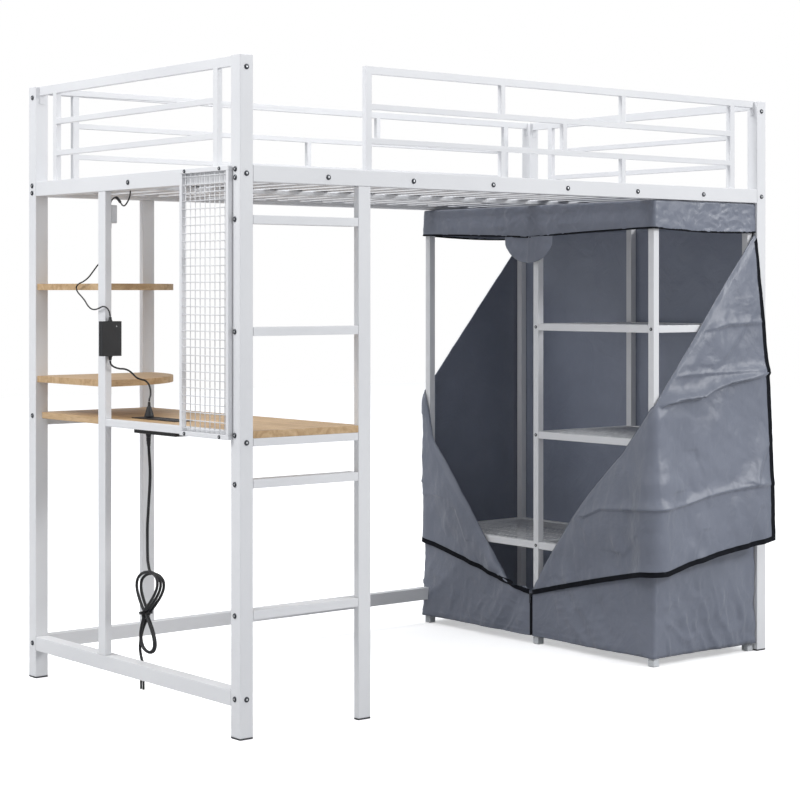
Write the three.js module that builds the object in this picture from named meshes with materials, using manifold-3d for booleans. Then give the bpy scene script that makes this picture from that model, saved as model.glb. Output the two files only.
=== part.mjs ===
// Loft bed with a desk, corner shelves, a wall grid, a covered wardrobe and a light kit.
// Millimetres. X runs along the bed (desk end at -X), Y from the ladder side to the wall side, Z up.
import * as THREE from "three";
import { mergeVertices } from "three/addons/utils/BufferGeometryUtils.js";
import Module from "manifold-3d";

const wasm = await Module();
wasm.setup();

// ---------------------------------------------------------------------------------------------
// Driving sizes
// ---------------------------------------------------------------------------------------------

const bedLength = 1980;
const bedWidth = 1072;
const bedHeight = 1704;
const gap = 0.3; // clearance between two pieces that touch
const cordGap = 0.9; // clearance at the end of a cord

const post = 40; // corner post, square tube
const wall = 1.5; // wall of every hollow tube
const capBase = 4; // thickness of a foot cap under its tube
const capPlug = 22; // how far a foot cap reaches up inside its tube

const bedRailBottom = 1388;
const bedRailHeight = 42;
const lowRailBottom = 80;
const lowRailHeight = 40;
const backLowRailDepth = 30;

const thinPostWide = 40; // intermediate posts and ladder post
const thinPostDeep = 20;
const endPostCentreY = 128;
const deskBayLength = 393; // from the end of the bed to the middle of the ladder post

const rungBottoms = [296, 623, 1003, 1283];
const rungHeight = 22;

const deskRailHeight = 20;
const deskTop = 766;
const boardThickness = 18;
const shelfTops = [871, 1136];
const shelfRadius = 400;
const shelfInset = 5; // how far the shelves' straight edge stays inside the end of the bed

const guardBar = 15;
const guardStile = 20;
const guardTopSide = 20;
const guardTopEnd = 25;
const guardBarBottoms = [1501, 1591];
const guardStileInset = 100; // from a corner post to the middle of the stile next to it
const endStileInset = 88; // from the inner face of a corner post to the middle of an end guard stile
const guardPastLadder = 14; // from the middle of the ladder post to the start of the front guard
const tabLength = 24; // bolt tab under each end of a guard's top rail
const tabThickness = 3;

const slatCount = 21;
const slatPitch = 88;
const slatWidth = 50;
const slatThickness = 12;
const slatFlange = 2.5; // each slat is a channel, open below, with this wall
const beamWidth = 40;
const sideStripWidth = 25;

const wireGridDepth = 14; // how far the wall grid stands off the end of the bed
const wireGridFrame = 12;
const wireGridWire = 2.6;
const wireGridInset = 31; // from the ladder side of the bed
const wireGridWidth = 223;
const wireGridTop = 1428;
const wireGridBottom = 744;

const coverDepth = 448.4; // from the face towards the desk to the face at the end of the bed
const coverNearInset = 12; // from the ladder side of the bed; the other side is flush with the bed
const cloth = 2;
const hemZ = 25;
const valanceBottom = 1300;
const coverTopZ = 1386;
const zipOpenZ = 160; // the centre zip is open above this height
const foldEndZ = 1290;
const foldEndInset = 16.4; // the fold ends this far before the back edge of the door
const flapTipZ = 350;
const flapTipOvershoot = 2.6; // how far the free corner hangs past the back edge
const flapReach = 70; // how far the free corner of a flap hangs out past the side of the bed
const flapCloth = 3;
const coverCornerRadius = 8;

const legSize = 22;
const wardrobeShelfTops = [323, 672, 1013];
const midLegCentreY = -10;

// ---------------------------------------------------------------------------------------------
// Places that follow from the driving sizes
// ---------------------------------------------------------------------------------------------

const endX = bedLength / 2;
const sideY = bedWidth / 2;
const postInX = endX - post;
const postInY = sideY - post;
const postMidX = endX - post / 2;
const postMidY = sideY - post / 2;
const bedRailTop = bedRailBottom + bedRailHeight;
const lowRailTop = lowRailBottom + lowRailHeight;
const deskBayEndX = -endX + deskBayLength;
const ladderPostLeft = deskBayEndX - thinPostWide / 2;
const ladderPostRight = deskBayEndX + thinPostWide / 2;
const endPostNearY = endPostCentreY - thinPostWide / 2 + 1;
const endPostFarY = endPostCentreY + thinPostWide / 2 - 1;
const endPostInX = endX - thinPostDeep;
const deskUnder = deskTop - boardThickness;
const ladderGapEndX = deskBayEndX + guardPastLadder;
const endStileY = postInY - endStileInset;
const wireGridNearY = -sideY + wireGridInset;
const wireGridFarY = wireGridNearY + wireGridWidth;
const coverBackX = postInX - 0.6;
const coverFrontX = coverBackX - coverDepth;
const coverHalfSpan = sideY - coverNearInset / 2;
const coverCentreY = coverNearInset / 2;
const coverRound = coverHalfSpan + coverDepth; // from the middle of the front to the back edge
const foldEndS = coverRound - foldEndInset;
const flapTipS = coverRound + flapTipOvershoot;
const flapReachY = sideY + flapReach;

// ---------------------------------------------------------------------------------------------
// Materials
// ---------------------------------------------------------------------------------------------

function finish(color, roughness, metalness) {
  return new THREE.MeshStandardMaterial({ color, roughness, metalness });
}

const whiteSteel = finish(0xe9e9ec, 0.45, 0.1);
const darkPlastic = finish(0x3a3b40, 0.6, 0);
const oakBoard = finish(0xd9b98c, 0.6, 0);
const greyCloth = finish(0x68707c, 0.85, 0);
const blackPlastic = finish(0x17181b, 0.5, 0);
const greyPlastic = finish(0xc9cacc, 0.5, 0);
const blackCord = finish(0x101114, 0.55, 0);
const zipMetal = finish(0x2b2d33, 0.35, 0.8);

// ---------------------------------------------------------------------------------------------
// Geometry helpers
// ---------------------------------------------------------------------------------------------

function box(x0, x1, y0, y1, z0, z1) {
  const geometry = new THREE.BoxGeometry(x1 - x0, y1 - y0, z1 - z0);
  return geometry.translate((x0 + x1) / 2, (y0 + y1) / 2, (z0 + z1) / 2);
}

function toSolid(geometry) {
  const bare = geometry.clone();
  bare.deleteAttribute("normal");
  bare.deleteAttribute("uv");
  const merged = mergeVertices(bare, 1e-4);
  const vertProperties = merged.attributes.position.array;
  const triVerts = new Uint32Array(merged.index.array);
  return new wasm.Manifold(new wasm.Mesh({ numProp: 3, vertProperties, triVerts }));
}

function toGeometry(solid) {
  const mesh = solid.getMesh();
  const geometry = new THREE.BufferGeometry();
  geometry.setAttribute("position", new THREE.BufferAttribute(mesh.vertProperties, 3));
  geometry.setIndex(new THREE.BufferAttribute(mesh.triVerts, 1));
  geometry.computeVertexNormals();
  return geometry;
}

function join(pieces) {
  return toGeometry(pieces.map(toSolid).reduce((sum, piece) => sum.add(piece)));
}

function cut(from, pieces) {
  return toGeometry(pieces.map(toSolid).reduce((rest, piece) => rest.subtract(piece), toSolid(from)));
}

// A matrix that lays an extrusion, made along its own Z, along the named axis.
function layAlong(axis) {
  const X = new THREE.Vector3(1, 0, 0);
  const Y = new THREE.Vector3(0, 1, 0);
  const Z = new THREE.Vector3(0, 0, 1);
  const bases = { x: [Y, Z, X], y: [Z, X, Y], z: [X, Y, Z] };
  return new THREE.Matrix4().makeBasis(...bases[axis]);
}

function rectangle(x0, x1, y0, y1, kind = THREE.Shape) {
  const outline = new kind();
  outline.moveTo(x0, y0);
  outline.lineTo(x1, y0);
  outline.lineTo(x1, y1);
  outline.lineTo(x0, y1);
  outline.closePath();
  return outline;
}

function roundedRectangle(x0, x1, y0, y1, radius, Kind) {
  const outline = new Kind();
  outline.moveTo(x0 + radius, y0);
  outline.absarc(x1 - radius, y0 + radius, radius, -Math.PI / 2, 0, false);
  outline.absarc(x1 - radius, y1 - radius, radius, 0, Math.PI / 2, false);
  outline.absarc(x0 + radius, y1 - radius, radius, Math.PI / 2, Math.PI, false);
  outline.absarc(x0 + radius, y0 + radius, radius, Math.PI, 1.5 * Math.PI, false);
  outline.closePath();
  return outline;
}

// An open-ended rectangular tube that fills the box from low to high, along one axis.
function hollowBar(axis, [x0, x1], [y0, y1], [z0, z1]) {
  const spans = { x: [[y0, y1], [z0, z1], [x0, x1]], y: [[z0, z1], [x0, x1], [y0, y1]] };
  const [across, up, along] = spans[axis] ?? [[x0, x1], [y0, y1], [z0, z1]];
  const outline = rectangle(...across, ...up);
  const inner = [across[0] + wall, across[1] - wall, up[0] + wall, up[1] - wall];
  outline.holes.push(rectangle(...inner, THREE.Path));
  const geometry = new THREE.ExtrudeGeometry(outline, { depth: along[1] - along[0], bevelEnabled: false });
  return geometry.translate(0, 0, along[0]).applyMatrix4(layAlong(axis));
}

// A flat plate with its outline in X and Y.
function plate(outline, z0, z1) {
  const options = { depth: z1 - z0, bevelEnabled: false, curveSegments: 20 };
  return new THREE.ExtrudeGeometry(outline, options).translate(0, 0, z0);
}

// A round cord along a smooth curve through the given points.
function cordTube(points, diameter, steps) {
  const curve = new THREE.CatmullRomCurve3(points.map((p) => new THREE.Vector3(...p)));
  const sides = 8;
  const corners = [];
  for (let i = 0; i < sides; i += 1) {
    const angle = (i / sides) * 2 * Math.PI;
    corners.push(new THREE.Vector2(Math.cos(angle), Math.sin(angle)).multiplyScalar(diameter / 2));
  }
  return new THREE.ExtrudeGeometry(new THREE.Shape(corners), { steps, extrudePath: curve });
}

// A thin closed sheet through a grid of points: rows of equal length, thickness set off to one side.
function thinSheet(rows, thickness, outward) {
  const across = rows[0].length;
  const count = rows.length * across;
  const positions = [];
  const faces = [];
  for (const lift of [0, thickness]) {
    rows.forEach((row) => {
      row.forEach((point) => {
        const moved = point.clone().addScaledVector(outward(point), lift);
        positions.push(moved.x, moved.y, moved.z);
      });
    });
  }
  const at = (i, j) => i * across + j;
  for (let i = 0; i + 1 < rows.length; i += 1) {
    for (let j = 0; j + 1 < across; j += 1) {
      const corners = [at(i, j), at(i + 1, j), at(i + 1, j + 1), at(i, j + 1)];
      faces.push([corners[0], corners[1], corners[2]], [corners[0], corners[2], corners[3]]);
    }
  }
  const triangles = [];
  faces.forEach(([a, b, c]) => {
    triangles.push(a, c, b);
    triangles.push(a + count, b + count, c + count);
  });
  const rim = [];
  for (let i = 0; i + 1 < rows.length; i += 1) rim.push(at(i, 0));
  for (let j = 0; j + 1 < across; j += 1) rim.push(at(rows.length - 1, j));
  for (let i = rows.length - 1; i > 0; i -= 1) rim.push(at(i, across - 1));
  for (let j = across - 1; j > 0; j -= 1) rim.push(at(0, j));
  rim.forEach((from, k) => {
    const to = rim[(k + 1) % rim.length];
    triangles.push(from, to, to + count, from, to + count, from + count);
  });
  const geometry = new THREE.BufferGeometry();
  geometry.setAttribute("position", new THREE.Float32BufferAttribute(positions, 3));
  geometry.setIndex(triangles);
  geometry.computeVertexNormals();
  return geometry;
}

function turnInsideOut(geometry) {
  const index = geometry.index.array;
  for (let i = 0; i < index.length; i += 3) {
    const first = index[i];
    index[i] = index[i + 1];
    index[i + 1] = first;
  }
  geometry.computeVertexNormals();
  return geometry;
}

// ---------------------------------------------------------------------------------------------
// The assembly
// ---------------------------------------------------------------------------------------------

const bed = new THREE.Group();

function add(name, geometry, material) {
  const mesh = new THREE.Mesh(geometry, material);
  mesh.name = name;
  bed.add(mesh);
  return mesh;
}

// Corner posts: tubes closed at the top, open at the foot, each on a plastic cap.
function cornerPost(name, signX, signY) {
  const xs = [signX * endX, signX * postInX].sort((a, b) => a - b);
  const ys = [signY * sideY, signY * postInY].sort((a, b) => a - b);
  const bottom = capBase + gap;
  const inner = [xs[0] + wall, xs[1] - wall, ys[0] + wall, ys[1] - wall];
  const bore = box(...inner, bottom - 1, bedHeight - wall);
  add(`post_${name}`, cut(box(...xs, ...ys, bottom, bedHeight), [bore]), whiteSteel);
  add(`foot_cap_${name}`, footCap(xs, ys), darkPlastic);
}

function footCap([x0, x1], [y0, y1]) {
  const fit = wall + gap;
  const base = box(x0, x1, y0, y1, 0, capBase);
  const plug = box(x0 + fit, x1 - fit, y0 + fit, y1 - fit, capBase / 2, capBase + capPlug);
  return join([base, plug]);
}

cornerPost("front_left", -1, -1);
cornerPost("front_right", 1, -1);
cornerPost("back_left", -1, 1);
cornerPost("back_right", 1, 1);

// Intermediate posts.
const ladderPostX = [ladderPostLeft, ladderPostRight];
const ladderPostY = [-sideY, -sideY + thinPostDeep];
const underRail = bedRailBottom - gap;
add("ladder_post", hollowBar("z", ladderPostX, ladderPostY, [capBase + gap, underRail]), whiteSteel);
add("foot_cap_ladder", footCap(ladderPostX, ladderPostY), darkPlastic);
const endPostY = [endPostNearY, endPostFarY];
const aboveLowRail = [lowRailTop + gap, underRail];
add("end_middle_post", hollowBar("z", [-endX, -endPostInX], endPostY, aboveLowRail), whiteSteel);
const backPostY = [sideY - thinPostDeep, sideY];
add("back_middle_post", hollowBar("z", ladderPostX, backPostY, aboveLowRail), whiteSteel);

// Bed rails and lower rails.
const innerX = [-postInX + gap, postInX - gap];
const innerY = [-postInY + gap, postInY - gap];
const bedRailZ = [bedRailBottom, bedRailTop];
const lowRailZ = [lowRailBottom, lowRailTop];
add("bed_rail_front", hollowBar("x", innerX, [-sideY, -postInY], bedRailZ), whiteSteel);
add("bed_rail_back", hollowBar("x", innerX, [postInY, sideY], bedRailZ), whiteSteel);
add("bed_rail_left", hollowBar("y", [-endX, -postInX], innerY, bedRailZ), whiteSteel);
add("bed_rail_right", hollowBar("y", [postInX, endX], innerY, bedRailZ), whiteSteel);
add("low_rail_left", hollowBar("y", [-endX, -postInX], innerY, lowRailZ), whiteSteel);
add("low_rail_right", hollowBar("y", [postInX, endX], innerY, lowRailZ), whiteSteel);
const backLowX = [innerX[0], coverFrontX - gap];
const backLowY = [sideY - backLowRailDepth, sideY];
add("low_rail_back", hollowBar("x", backLowX, backLowY, lowRailZ), whiteSteel);

// Ladder rungs between the front left post and the ladder post.
rungBottoms.forEach((bottom, i) => {
  const span = [innerX[0], ladderPostLeft - gap];
  const rung = hollowBar("x", span, [-sideY, -postInY], [bottom, bottom + rungHeight]);
  add(`ladder_rung_${i + 1}`, rung, whiteSteel);
});

// Centre beam, and the slats on their two side strips.
const beamZ = [bedRailBottom + 0.5, bedRailBottom + 12.7];
const beamY = [-beamWidth / 2, beamWidth / 2];
add("centre_beam", box(...innerX, ...beamY, ...beamZ), whiteSteel);

function slatBase() {
  const z0 = beamZ[1] + gap;
  const z1 = z0 + slatThickness;
  const pieces = [];
  for (let i = 0; i < slatCount; i += 1) {
    const centre = (i - (slatCount - 1) / 2) * slatPitch;
    const [x0, x1] = [centre - slatWidth / 2, centre + slatWidth / 2];
    pieces.push(box(x0, x1, ...innerY, z1 - slatFlange, z1));
    pieces.push(box(x0, x0 + slatFlange, ...innerY, z0, z1));
    pieces.push(box(x1 - slatFlange, x1, ...innerY, z0, z1));
  }
  const reach = ((slatCount - 1) / 2) * slatPitch + slatWidth / 2;
  for (const side of [-1, 1]) {
    const ys = [side * innerY[1], side * (innerY[1] - sideStripWidth)].sort((a, b) => a - b);
    pieces.push(box(-reach, reach, ...ys, z0 - 3, z0 + 3));
  }
  return join(pieces);
}
add("slat_base", slatBase(), whiteSteel);

// Guards: a frame of stiles and bars with short struts, drawn flat as (run, height) and then stood up.
function guardPieces(runStart, runEnd, stiles, topHeight, thickness, tabs) {
  const pieces = [];
  const bar = (r0, r1, z0, z1) => pieces.push([r0, r1, z0, z1]);
  const foot = bedRailTop + gap;
  const topBottom = bedHeight - topHeight;
  bar(runStart, runEnd, topBottom, bedHeight);
  stiles.forEach((centre) => bar(centre - guardStile / 2, centre + guardStile / 2, foot, bedHeight - 1));
  guardBarBottoms.forEach((z) => bar(stiles[0], stiles[1], z, z + guardBar));
  tabs.forEach(([r0, r1]) => bar(r0, r1, topBottom - tabLength, topBottom + 1));
  return { pieces, foot, topBottom, thickness };
}

function strut(centre, z0, z1) {
  return [centre - guardBar / 2, centre + guardBar / 2, z0, z1];
}

function sideGuard(runStart, runEnd, stiles, tabs) {
  const frame = guardPieces(runStart, runEnd, stiles, guardTopSide, guardBar, tabs);
  const [low, high] = guardBarBottoms;
  const bay = stiles[1] - stiles[0];
  [1 / 3, 2 / 3].forEach((share) => {
    frame.pieces.push(strut(stiles[0] + bay * share, frame.foot, low + 1));
    frame.pieces.push(strut(stiles[0] + bay * share, high + guardBar - 1, frame.topBottom + 1));
  });
  frame.pieces.push(strut(stiles[0] + bay / 2, low + guardBar - 1, high + 1));
  return frame;
}

function standAlongX(frame, centreY) {
  const half = frame.thickness / 2;
  return join(frame.pieces.map(([r0, r1, z0, z1]) => box(r0, r1, centreY - half, centreY + half, z0, z1)));
}

function standAlongY(frame, centreX) {
  const half = frame.thickness / 2;
  return join(frame.pieces.map(([r0, r1, z0, z1]) => box(centreX - half, centreX + half, r0, r1, z0, z1)));
}

const outerStile = postInX - guardStileInset;
const tabRight = [innerX[1] - tabThickness, innerX[1]];
const tabLeft = [innerX[0], innerX[0] + tabThickness];
const frontStiles = [ladderGapEndX + guardStile / 2, outerStile];
const frontGuard = sideGuard(ladderGapEndX, innerX[1], frontStiles, [tabRight]);
add("guard_front", standAlongX(frontGuard, -postMidY), whiteSteel);
const backGuard = sideGuard(...innerX, [-outerStile, outerStile], [tabLeft, tabRight]);
add("guard_back", standAlongX(backGuard, postMidY), whiteSteel);
const endTabs = [[innerY[0], innerY[0] + tabThickness], [innerY[1] - tabThickness, innerY[1]]];
const endGuard = guardPieces(...innerY, [-endStileY, endStileY], guardTopEnd, guardBar, endTabs);
add("guard_left", standAlongY(endGuard, -postMidX), whiteSteel);
add("guard_right", standAlongY(endGuard, postMidX), whiteSteel);

// Desk: four rails and a board notched round the posts.
const frontDeskRailX = [innerX[0], ladderPostLeft - gap];
const deskRailZ = [deskUnder - deskRailHeight - gap, deskUnder - gap];
add("desk_rail_front", hollowBar("x", frontDeskRailX, [-sideY, -postInY], deskRailZ), whiteSteel);
add("desk_rail_back", hollowBar("x", frontDeskRailX, backPostY, deskRailZ), whiteSteel);
const endRailY = [innerY[0], endPostNearY - gap];
const endRailZ = [deskTop - deskRailHeight, deskTop];
add("desk_rail_end", hollowBar("y", [-endX, -endPostInX], endRailY, endRailZ), whiteSteel);
const crossX = [deskBayEndX - deskRailHeight / 2, deskBayEndX + deskRailHeight / 2];
const crossY = [ladderPostY[1] + gap, backPostY[0] - gap];
const crossRail = hollowBar("y", crossX, [-postInY + gap, crossY[1]], deskRailZ);
add("desk_rail_cross", crossRail, whiteSteel);

const stripX = [-endX + 75, -endX + 135]; // power strip flange
const stripY = [-122, 96];
const stripLip = 5;
const stripBodyDepth = 40;

function deskBoard() {
  const left = -endPostInX + gap;
  const front = -sideY + gap;
  const back = backPostY[0] - gap;
  const outline = new THREE.Shape();
  outline.moveTo(innerX[0], front);
  outline.lineTo(ladderPostLeft - gap, front);
  outline.lineTo(ladderPostLeft - gap, ladderPostY[1] + gap);
  outline.lineTo(deskBayEndX, ladderPostY[1] + gap);
  outline.lineTo(deskBayEndX, back);
  outline.lineTo(innerX[0], back);
  outline.lineTo(innerX[0], innerY[1]);
  outline.lineTo(left, innerY[1]);
  outline.lineTo(left, innerY[0]);
  outline.lineTo(innerX[0], innerY[0]);
  outline.closePath();
  const [x0, x1] = [stripX[0] + stripLip - gap, stripX[1] - stripLip + gap];
  const [y0, y1] = [stripY[0] + stripLip - gap, stripY[1] - stripLip + gap];
  outline.holes.push(rectangle(x0, x1, y0, y1, THREE.Path));
  return plate(outline, deskUnder, deskTop);
}
add("desk_board", deskBoard(), oakBoard);

// Corner shelves: a quarter round with its square corner notched round the corner and end posts.
function cornerShelf(top) {
  const left = -endX + shelfInset;
  const back = backPostY[0] - gap;
  const outline = new THREE.Shape();
  outline.moveTo(left + shelfRadius, back);
  outline.lineTo(innerX[0], back);
  outline.lineTo(innerX[0], innerY[1]);
  outline.lineTo(left, innerY[1]);
  outline.lineTo(left, endPostFarY + gap);
  outline.lineTo(-endPostInX + gap, endPostFarY + gap);
  const startX = -endPostInX + gap - left;
  const startAngle = -Math.acos(startX / shelfRadius);
  outline.absarc(left, back, shelfRadius, startAngle, 0, false);
  return plate(outline, top - boardThickness, top);
}
shelfTops.forEach((top, i) => add(`corner_shelf_${i + 1}`, cornerShelf(top), oakBoard));

// Wall grid bolted to the outside of the desk end.
function wallGrid() {
  const x0 = -endX - wireGridDepth;
  const frameX = [x0, x0 + wireGridFrame];
  const wireX = [x0 + 2.5, x0 + 2.5 + wireGridWire];
  const [y0, y1] = [wireGridNearY, wireGridFarY];
  const [z0, z1] = [wireGridBottom, wireGridTop];
  const pieces = [
    box(...frameX, y0, y1, z0, z0 + wireGridFrame),
    box(...frameX, y0, y1, z1 - wireGridFrame, z1),
    box(...frameX, y0, y0 + wireGridFrame, z0, z1),
    box(...frameX, y1 - wireGridFrame, y1, z0, z1),
  ];
  const uprights = 4;
  for (let i = 1; i <= uprights; i += 1) {
    const y = y0 + ((y1 - y0) * i) / (uprights + 1);
    pieces.push(box(...wireX, y - wireGridWire / 2, y + wireGridWire / 2, z0 + 2, z1 - 2));
  }
  const rows = 15;
  for (let i = 1; i <= rows; i += 1) {
    const z = z0 + ((z1 - z0) * i) / (rows + 1);
    pieces.push(box(...wireX, y0 + 2, y1 - 2, z - wireGridWire / 2, z + wireGridWire / 2));
  }
  const tab = 22;
  for (const y of [y0 + tab, y1 - 2 * tab]) {
    pieces.push(box(x0 + 5, -endX - gap, y, y + tab, z0 + 1, z0 + 16));
    pieces.push(box(x0 + 5, -endX - gap, y, y + tab, z1 - 16, z1 - 1));
  }
  return join(pieces);
}
add("wall_grid", wallGrid(), whiteSteel);

// ---------------------------------------------------------------------------------------------
// Wardrobe: a welded frame on six legs, wire shelves, and a cloth cover with its doors folded down
// ---------------------------------------------------------------------------------------------

const coverNearY = coverCentreY - coverHalfSpan;
const coverFarY = coverCentreY + coverHalfSpan;
const clothGap = 2;
const legFront = [coverFrontX + cloth + clothGap, coverFrontX + cloth + clothGap + legSize];
const legBack = [coverBackX - cloth - clothGap - legSize, coverBackX - cloth - clothGap];
const legNear = [coverNearY + cloth + clothGap, coverNearY + cloth + clothGap + legSize];
const legMid = [midLegCentreY - legSize / 2, midLegCentreY + legSize / 2];
const legFar = [coverFarY - cloth - clothGap - legSize, coverFarY - cloth - clothGap];
const frameTop = coverTopZ - cloth - gap;

function wardrobeFrame() {
  const pieces = [];
  const topZ = [frameTop - legSize, frameTop];
  for (const xs of [legFront, legBack]) {
    for (const ys of [legNear, legMid, legFar]) pieces.push(box(...xs, ...ys, 0, frameTop - 1));
    pieces.push(box(...xs, legNear[0], legFar[1], ...topZ));
  }
  for (const ys of [legNear, legMid, legFar]) pieces.push(box(legFront[0], legBack[1], ...ys, ...topZ));
  const rodX = (legFront[0] + legBack[1]) / 2;
  const rodZ = frameTop - legSize / 2;
  pieces.push(box(rodX - 9, rodX + 9, legMid[1] - 2, legFar[0] + 2, rodZ - 9, rodZ + 9));
  return join(pieces);
}
add("wardrobe_frame", wardrobeFrame(), whiteSteel);

// A shelf of bars set between the legs, with wires across; ys lists the legs it spans.
function wireShelf(top, legs, wiresPerBay) {
  const z = [top - legSize, top];
  const wireZ = [top - 6, top - 2];
  const underWireZ = [top - 9, top - 5];
  const pieces = [];
  const inX = [legFront[1] + gap, legBack[0] - gap];
  legs.forEach((ys) => pieces.push(box(...inX, ...ys, ...z)));
  for (let bay = 0; bay + 1 < legs.length; bay += 1) {
    const span = [legs[bay][1] + gap, legs[bay + 1][0] - gap];
    pieces.push(box(...legFront, ...span, ...z));
    pieces.push(box(...legBack, ...span, ...z));
    for (let i = 1; i <= wiresPerBay; i += 1) {
      const y = span[0] + ((span[1] - span[0]) * i) / (wiresPerBay + 1);
      pieces.push(box(legFront[1] - 3, legBack[0] + 3, y - 2, y + 2, ...wireZ));
    }
  }
  for (const share of [0.25, 0.5, 0.75]) {
    const x = inX[0] + (inX[1] - inX[0]) * share;
    pieces.push(box(x - 2, x + 2, legs[0][1] - 3, legs[legs.length - 1][0] + 3, ...underWireZ));
  }
  return join(pieces);
}
const [lowShelf, midShelf, highShelf] = wardrobeShelfTops;
add("wardrobe_shelf_low", wireShelf(lowShelf, [legNear, legMid, legFar], 9), whiteSteel);
add("wardrobe_shelf_mid", wireShelf(midShelf, [legNear, legMid], 9), whiteSteel);
add("wardrobe_shelf_high", wireShelf(highShelf, [legNear, legMid], 9), whiteSteel);

// Cover top with its short side walls and the half-round tab at the middle of the front.
function coverTop() {
  const tabRadius = 112;
  const outer = [coverFrontX, coverBackX, coverNearY, coverFarY];
  const inner = [outer[0] + cloth, outer[1] - cloth, outer[2] + cloth, outer[3] - cloth];
  const walls = roundedRectangle(...outer, coverCornerRadius, THREE.Shape);
  walls.holes.push(roundedRectangle(...inner, coverCornerRadius - cloth, THREE.Path));
  const roof = roundedRectangle(...outer, coverCornerRadius, THREE.Shape);
  const hood = [plate(walls, valanceBottom + gap, coverTopZ - 1), plate(roof, coverTopZ - cloth, coverTopZ)];
  const tab = new THREE.Shape();
  tab.moveTo(-tabRadius, 5);
  tab.absellipse(0, 0, tabRadius, 78, Math.PI, 2 * Math.PI, false, 0);
  tab.lineTo(tabRadius, 5);
  tab.closePath();
  const flat = new THREE.ExtrudeGeometry(tab, { depth: cloth, bevelEnabled: false, curveSegments: 16 });
  flat.applyMatrix4(layAlong("x"));
  flat.translate(coverFrontX, coverCentreY, valanceBottom + gap);
  return join([...hood, flat]);
}
add("cover_top", coverTop(), greyCloth);
const backWallX = [coverBackX - cloth, coverBackX];
const backWallY = [coverNearY + cloth + gap, coverFarY - cloth - gap];
add("cover_back", box(...backWallX, ...backWallY, hemZ, valanceBottom), greyCloth);

// Height of the fold at a distance s round the cover from its centre line. The near door's fold bows up
// beside the zip, and the far door's hangs lower until it comes to the corner of the wardrobe.
function foldZ(s, side) {
  const straight = zipOpenZ + ((foldEndZ - zipOpenZ) * s) / foldEndS;
  if (side < 0) return straight + 36 * Math.sin(Math.PI * Math.min(1, s / 400));
  const sunk = THREE.MathUtils.smoothstep(s, 0, 110);
  const cornerStart = coverHalfSpan - 60;
  return straight - 95 * sunk * (1 - THREE.MathUtils.smoothstep(s, cornerStart, cornerStart + 55));
}

// The standing part of one door: half the front and one side, cut off along the fold.
function doorPanel(side) {
  const halfGap = 0.5;
  const depth = coverBackX - coverFrontX;
  const stations = [halfGap];
  for (let i = 1; i <= 6; i += 1) stations.push(((coverHalfSpan - coverCornerRadius) * i) / 6);
  const arc = (coverCornerRadius * Math.PI) / 2;
  for (let i = 1; i <= 3; i += 1) stations.push(coverHalfSpan - coverCornerRadius + (arc * i) / 3);
  const sideStart = stations[stations.length - 1];
  const sideRun = depth - coverCornerRadius;
  for (let i = 1; i <= 8; i += 1) stations.push(sideStart + (sideRun * i) / 8);
  const rows = stations.map((s) => {
    const top = s < foldEndS ? foldZ(s, side) : valanceBottom;
    return [top, (hemZ + top) / 2, hemZ].map((z) => aroundCover(s, -cloth, z));
  });
  const panel = thinSheet(rows, cloth, awayFromCover);
  if (side < 0) mirrorY(panel);
  return panel.translate(0, coverCentreY, 0);
}

// Mirrors a geometry through the XZ plane and keeps its faces pointing out.
function mirrorY(geometry) {
  geometry.applyMatrix4(new THREE.Matrix4().makeScale(1, -1, 1));
  return turnInsideOut(geometry);
}

// A point at distance s round the cover, pushed out from it, for the +Y side.
function aroundCover(s, out, z) {
  const straight = coverHalfSpan - coverCornerRadius;
  const arc = (coverCornerRadius * Math.PI) / 2;
  const cornerX = coverFrontX + coverCornerRadius;
  if (s <= straight) return new THREE.Vector3(coverFrontX - out, s, z);
  if (s >= straight + arc) return new THREE.Vector3(cornerX + s - straight - arc, coverHalfSpan + out, z);
  const angle = (s - straight) / coverCornerRadius;
  const radius = coverCornerRadius + out;
  return new THREE.Vector3(cornerX - radius * Math.cos(angle), straight + radius * Math.sin(angle), z);
}

function awayFromCover(point) {
  const cornerX = coverFrontX + coverCornerRadius;
  const straight = coverHalfSpan - coverCornerRadius;
  if (point.y <= straight) return new THREE.Vector3(-1, 0, 0);
  if (point.x >= cornerX) return new THREE.Vector3(0, 1, 0);
  return new THREE.Vector3(point.x - cornerX, point.y - straight, 0).normalize();
}

// The folded-down part of one door: it hangs from the fold, outside the standing part.
function doorFlap(side) {
  const start = 22;
  const foldOut = 4;
  const tipOut = flapReachY - flapCloth - coverHalfSpan - side * coverCentreY;
  const along = 26;
  const down = 5;
  const shares = [];
  for (let i = 0; i <= along; i += 1) shares.push(i / along);
  for (const past of [-18, -12, -6, 0, 6, 12, 18]) {
    shares.push((coverHalfSpan + past - start) / (foldEndS - start));
  }
  shares.sort((a, b) => a - b);
  const rows = [];
  for (const share of shares) {
    const top = start + (foldEndS - start) * share;
    const low = start + (flapTipS - start) * share;
    const topZ = foldZ(top, side);
    const lowZ = zipOpenZ - 6 + (flapTipZ - zipOpenZ) * share;
    const lowOut = foldOut + (tipOut - foldOut) * share ** (side < 0 ? 2 : 4);
    const row = [];
    for (let j = 0; j <= down; j += 1) {
      const drop = j / down;
      const s = top + (low - top) * drop;
      const out = foldOut + (lowOut - foldOut) * drop;
      row.push(aroundCover(s, out, topZ + (lowZ - topZ) * drop));
    }
    rows.push(row);
  }
  const flap = thinSheet(rows, flapCloth, awayFromCover);
  if (side < 0) mirrorY(flap);
  return flap.translate(0, coverCentreY, 0);
}
add("cover_panel_near", doorPanel(-1), greyCloth);
add("cover_panel_far", doorPanel(1), greyCloth);
add("cover_flap_near", doorFlap(-1), greyCloth);
add("cover_flap_far", doorFlap(1), greyCloth);

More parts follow.
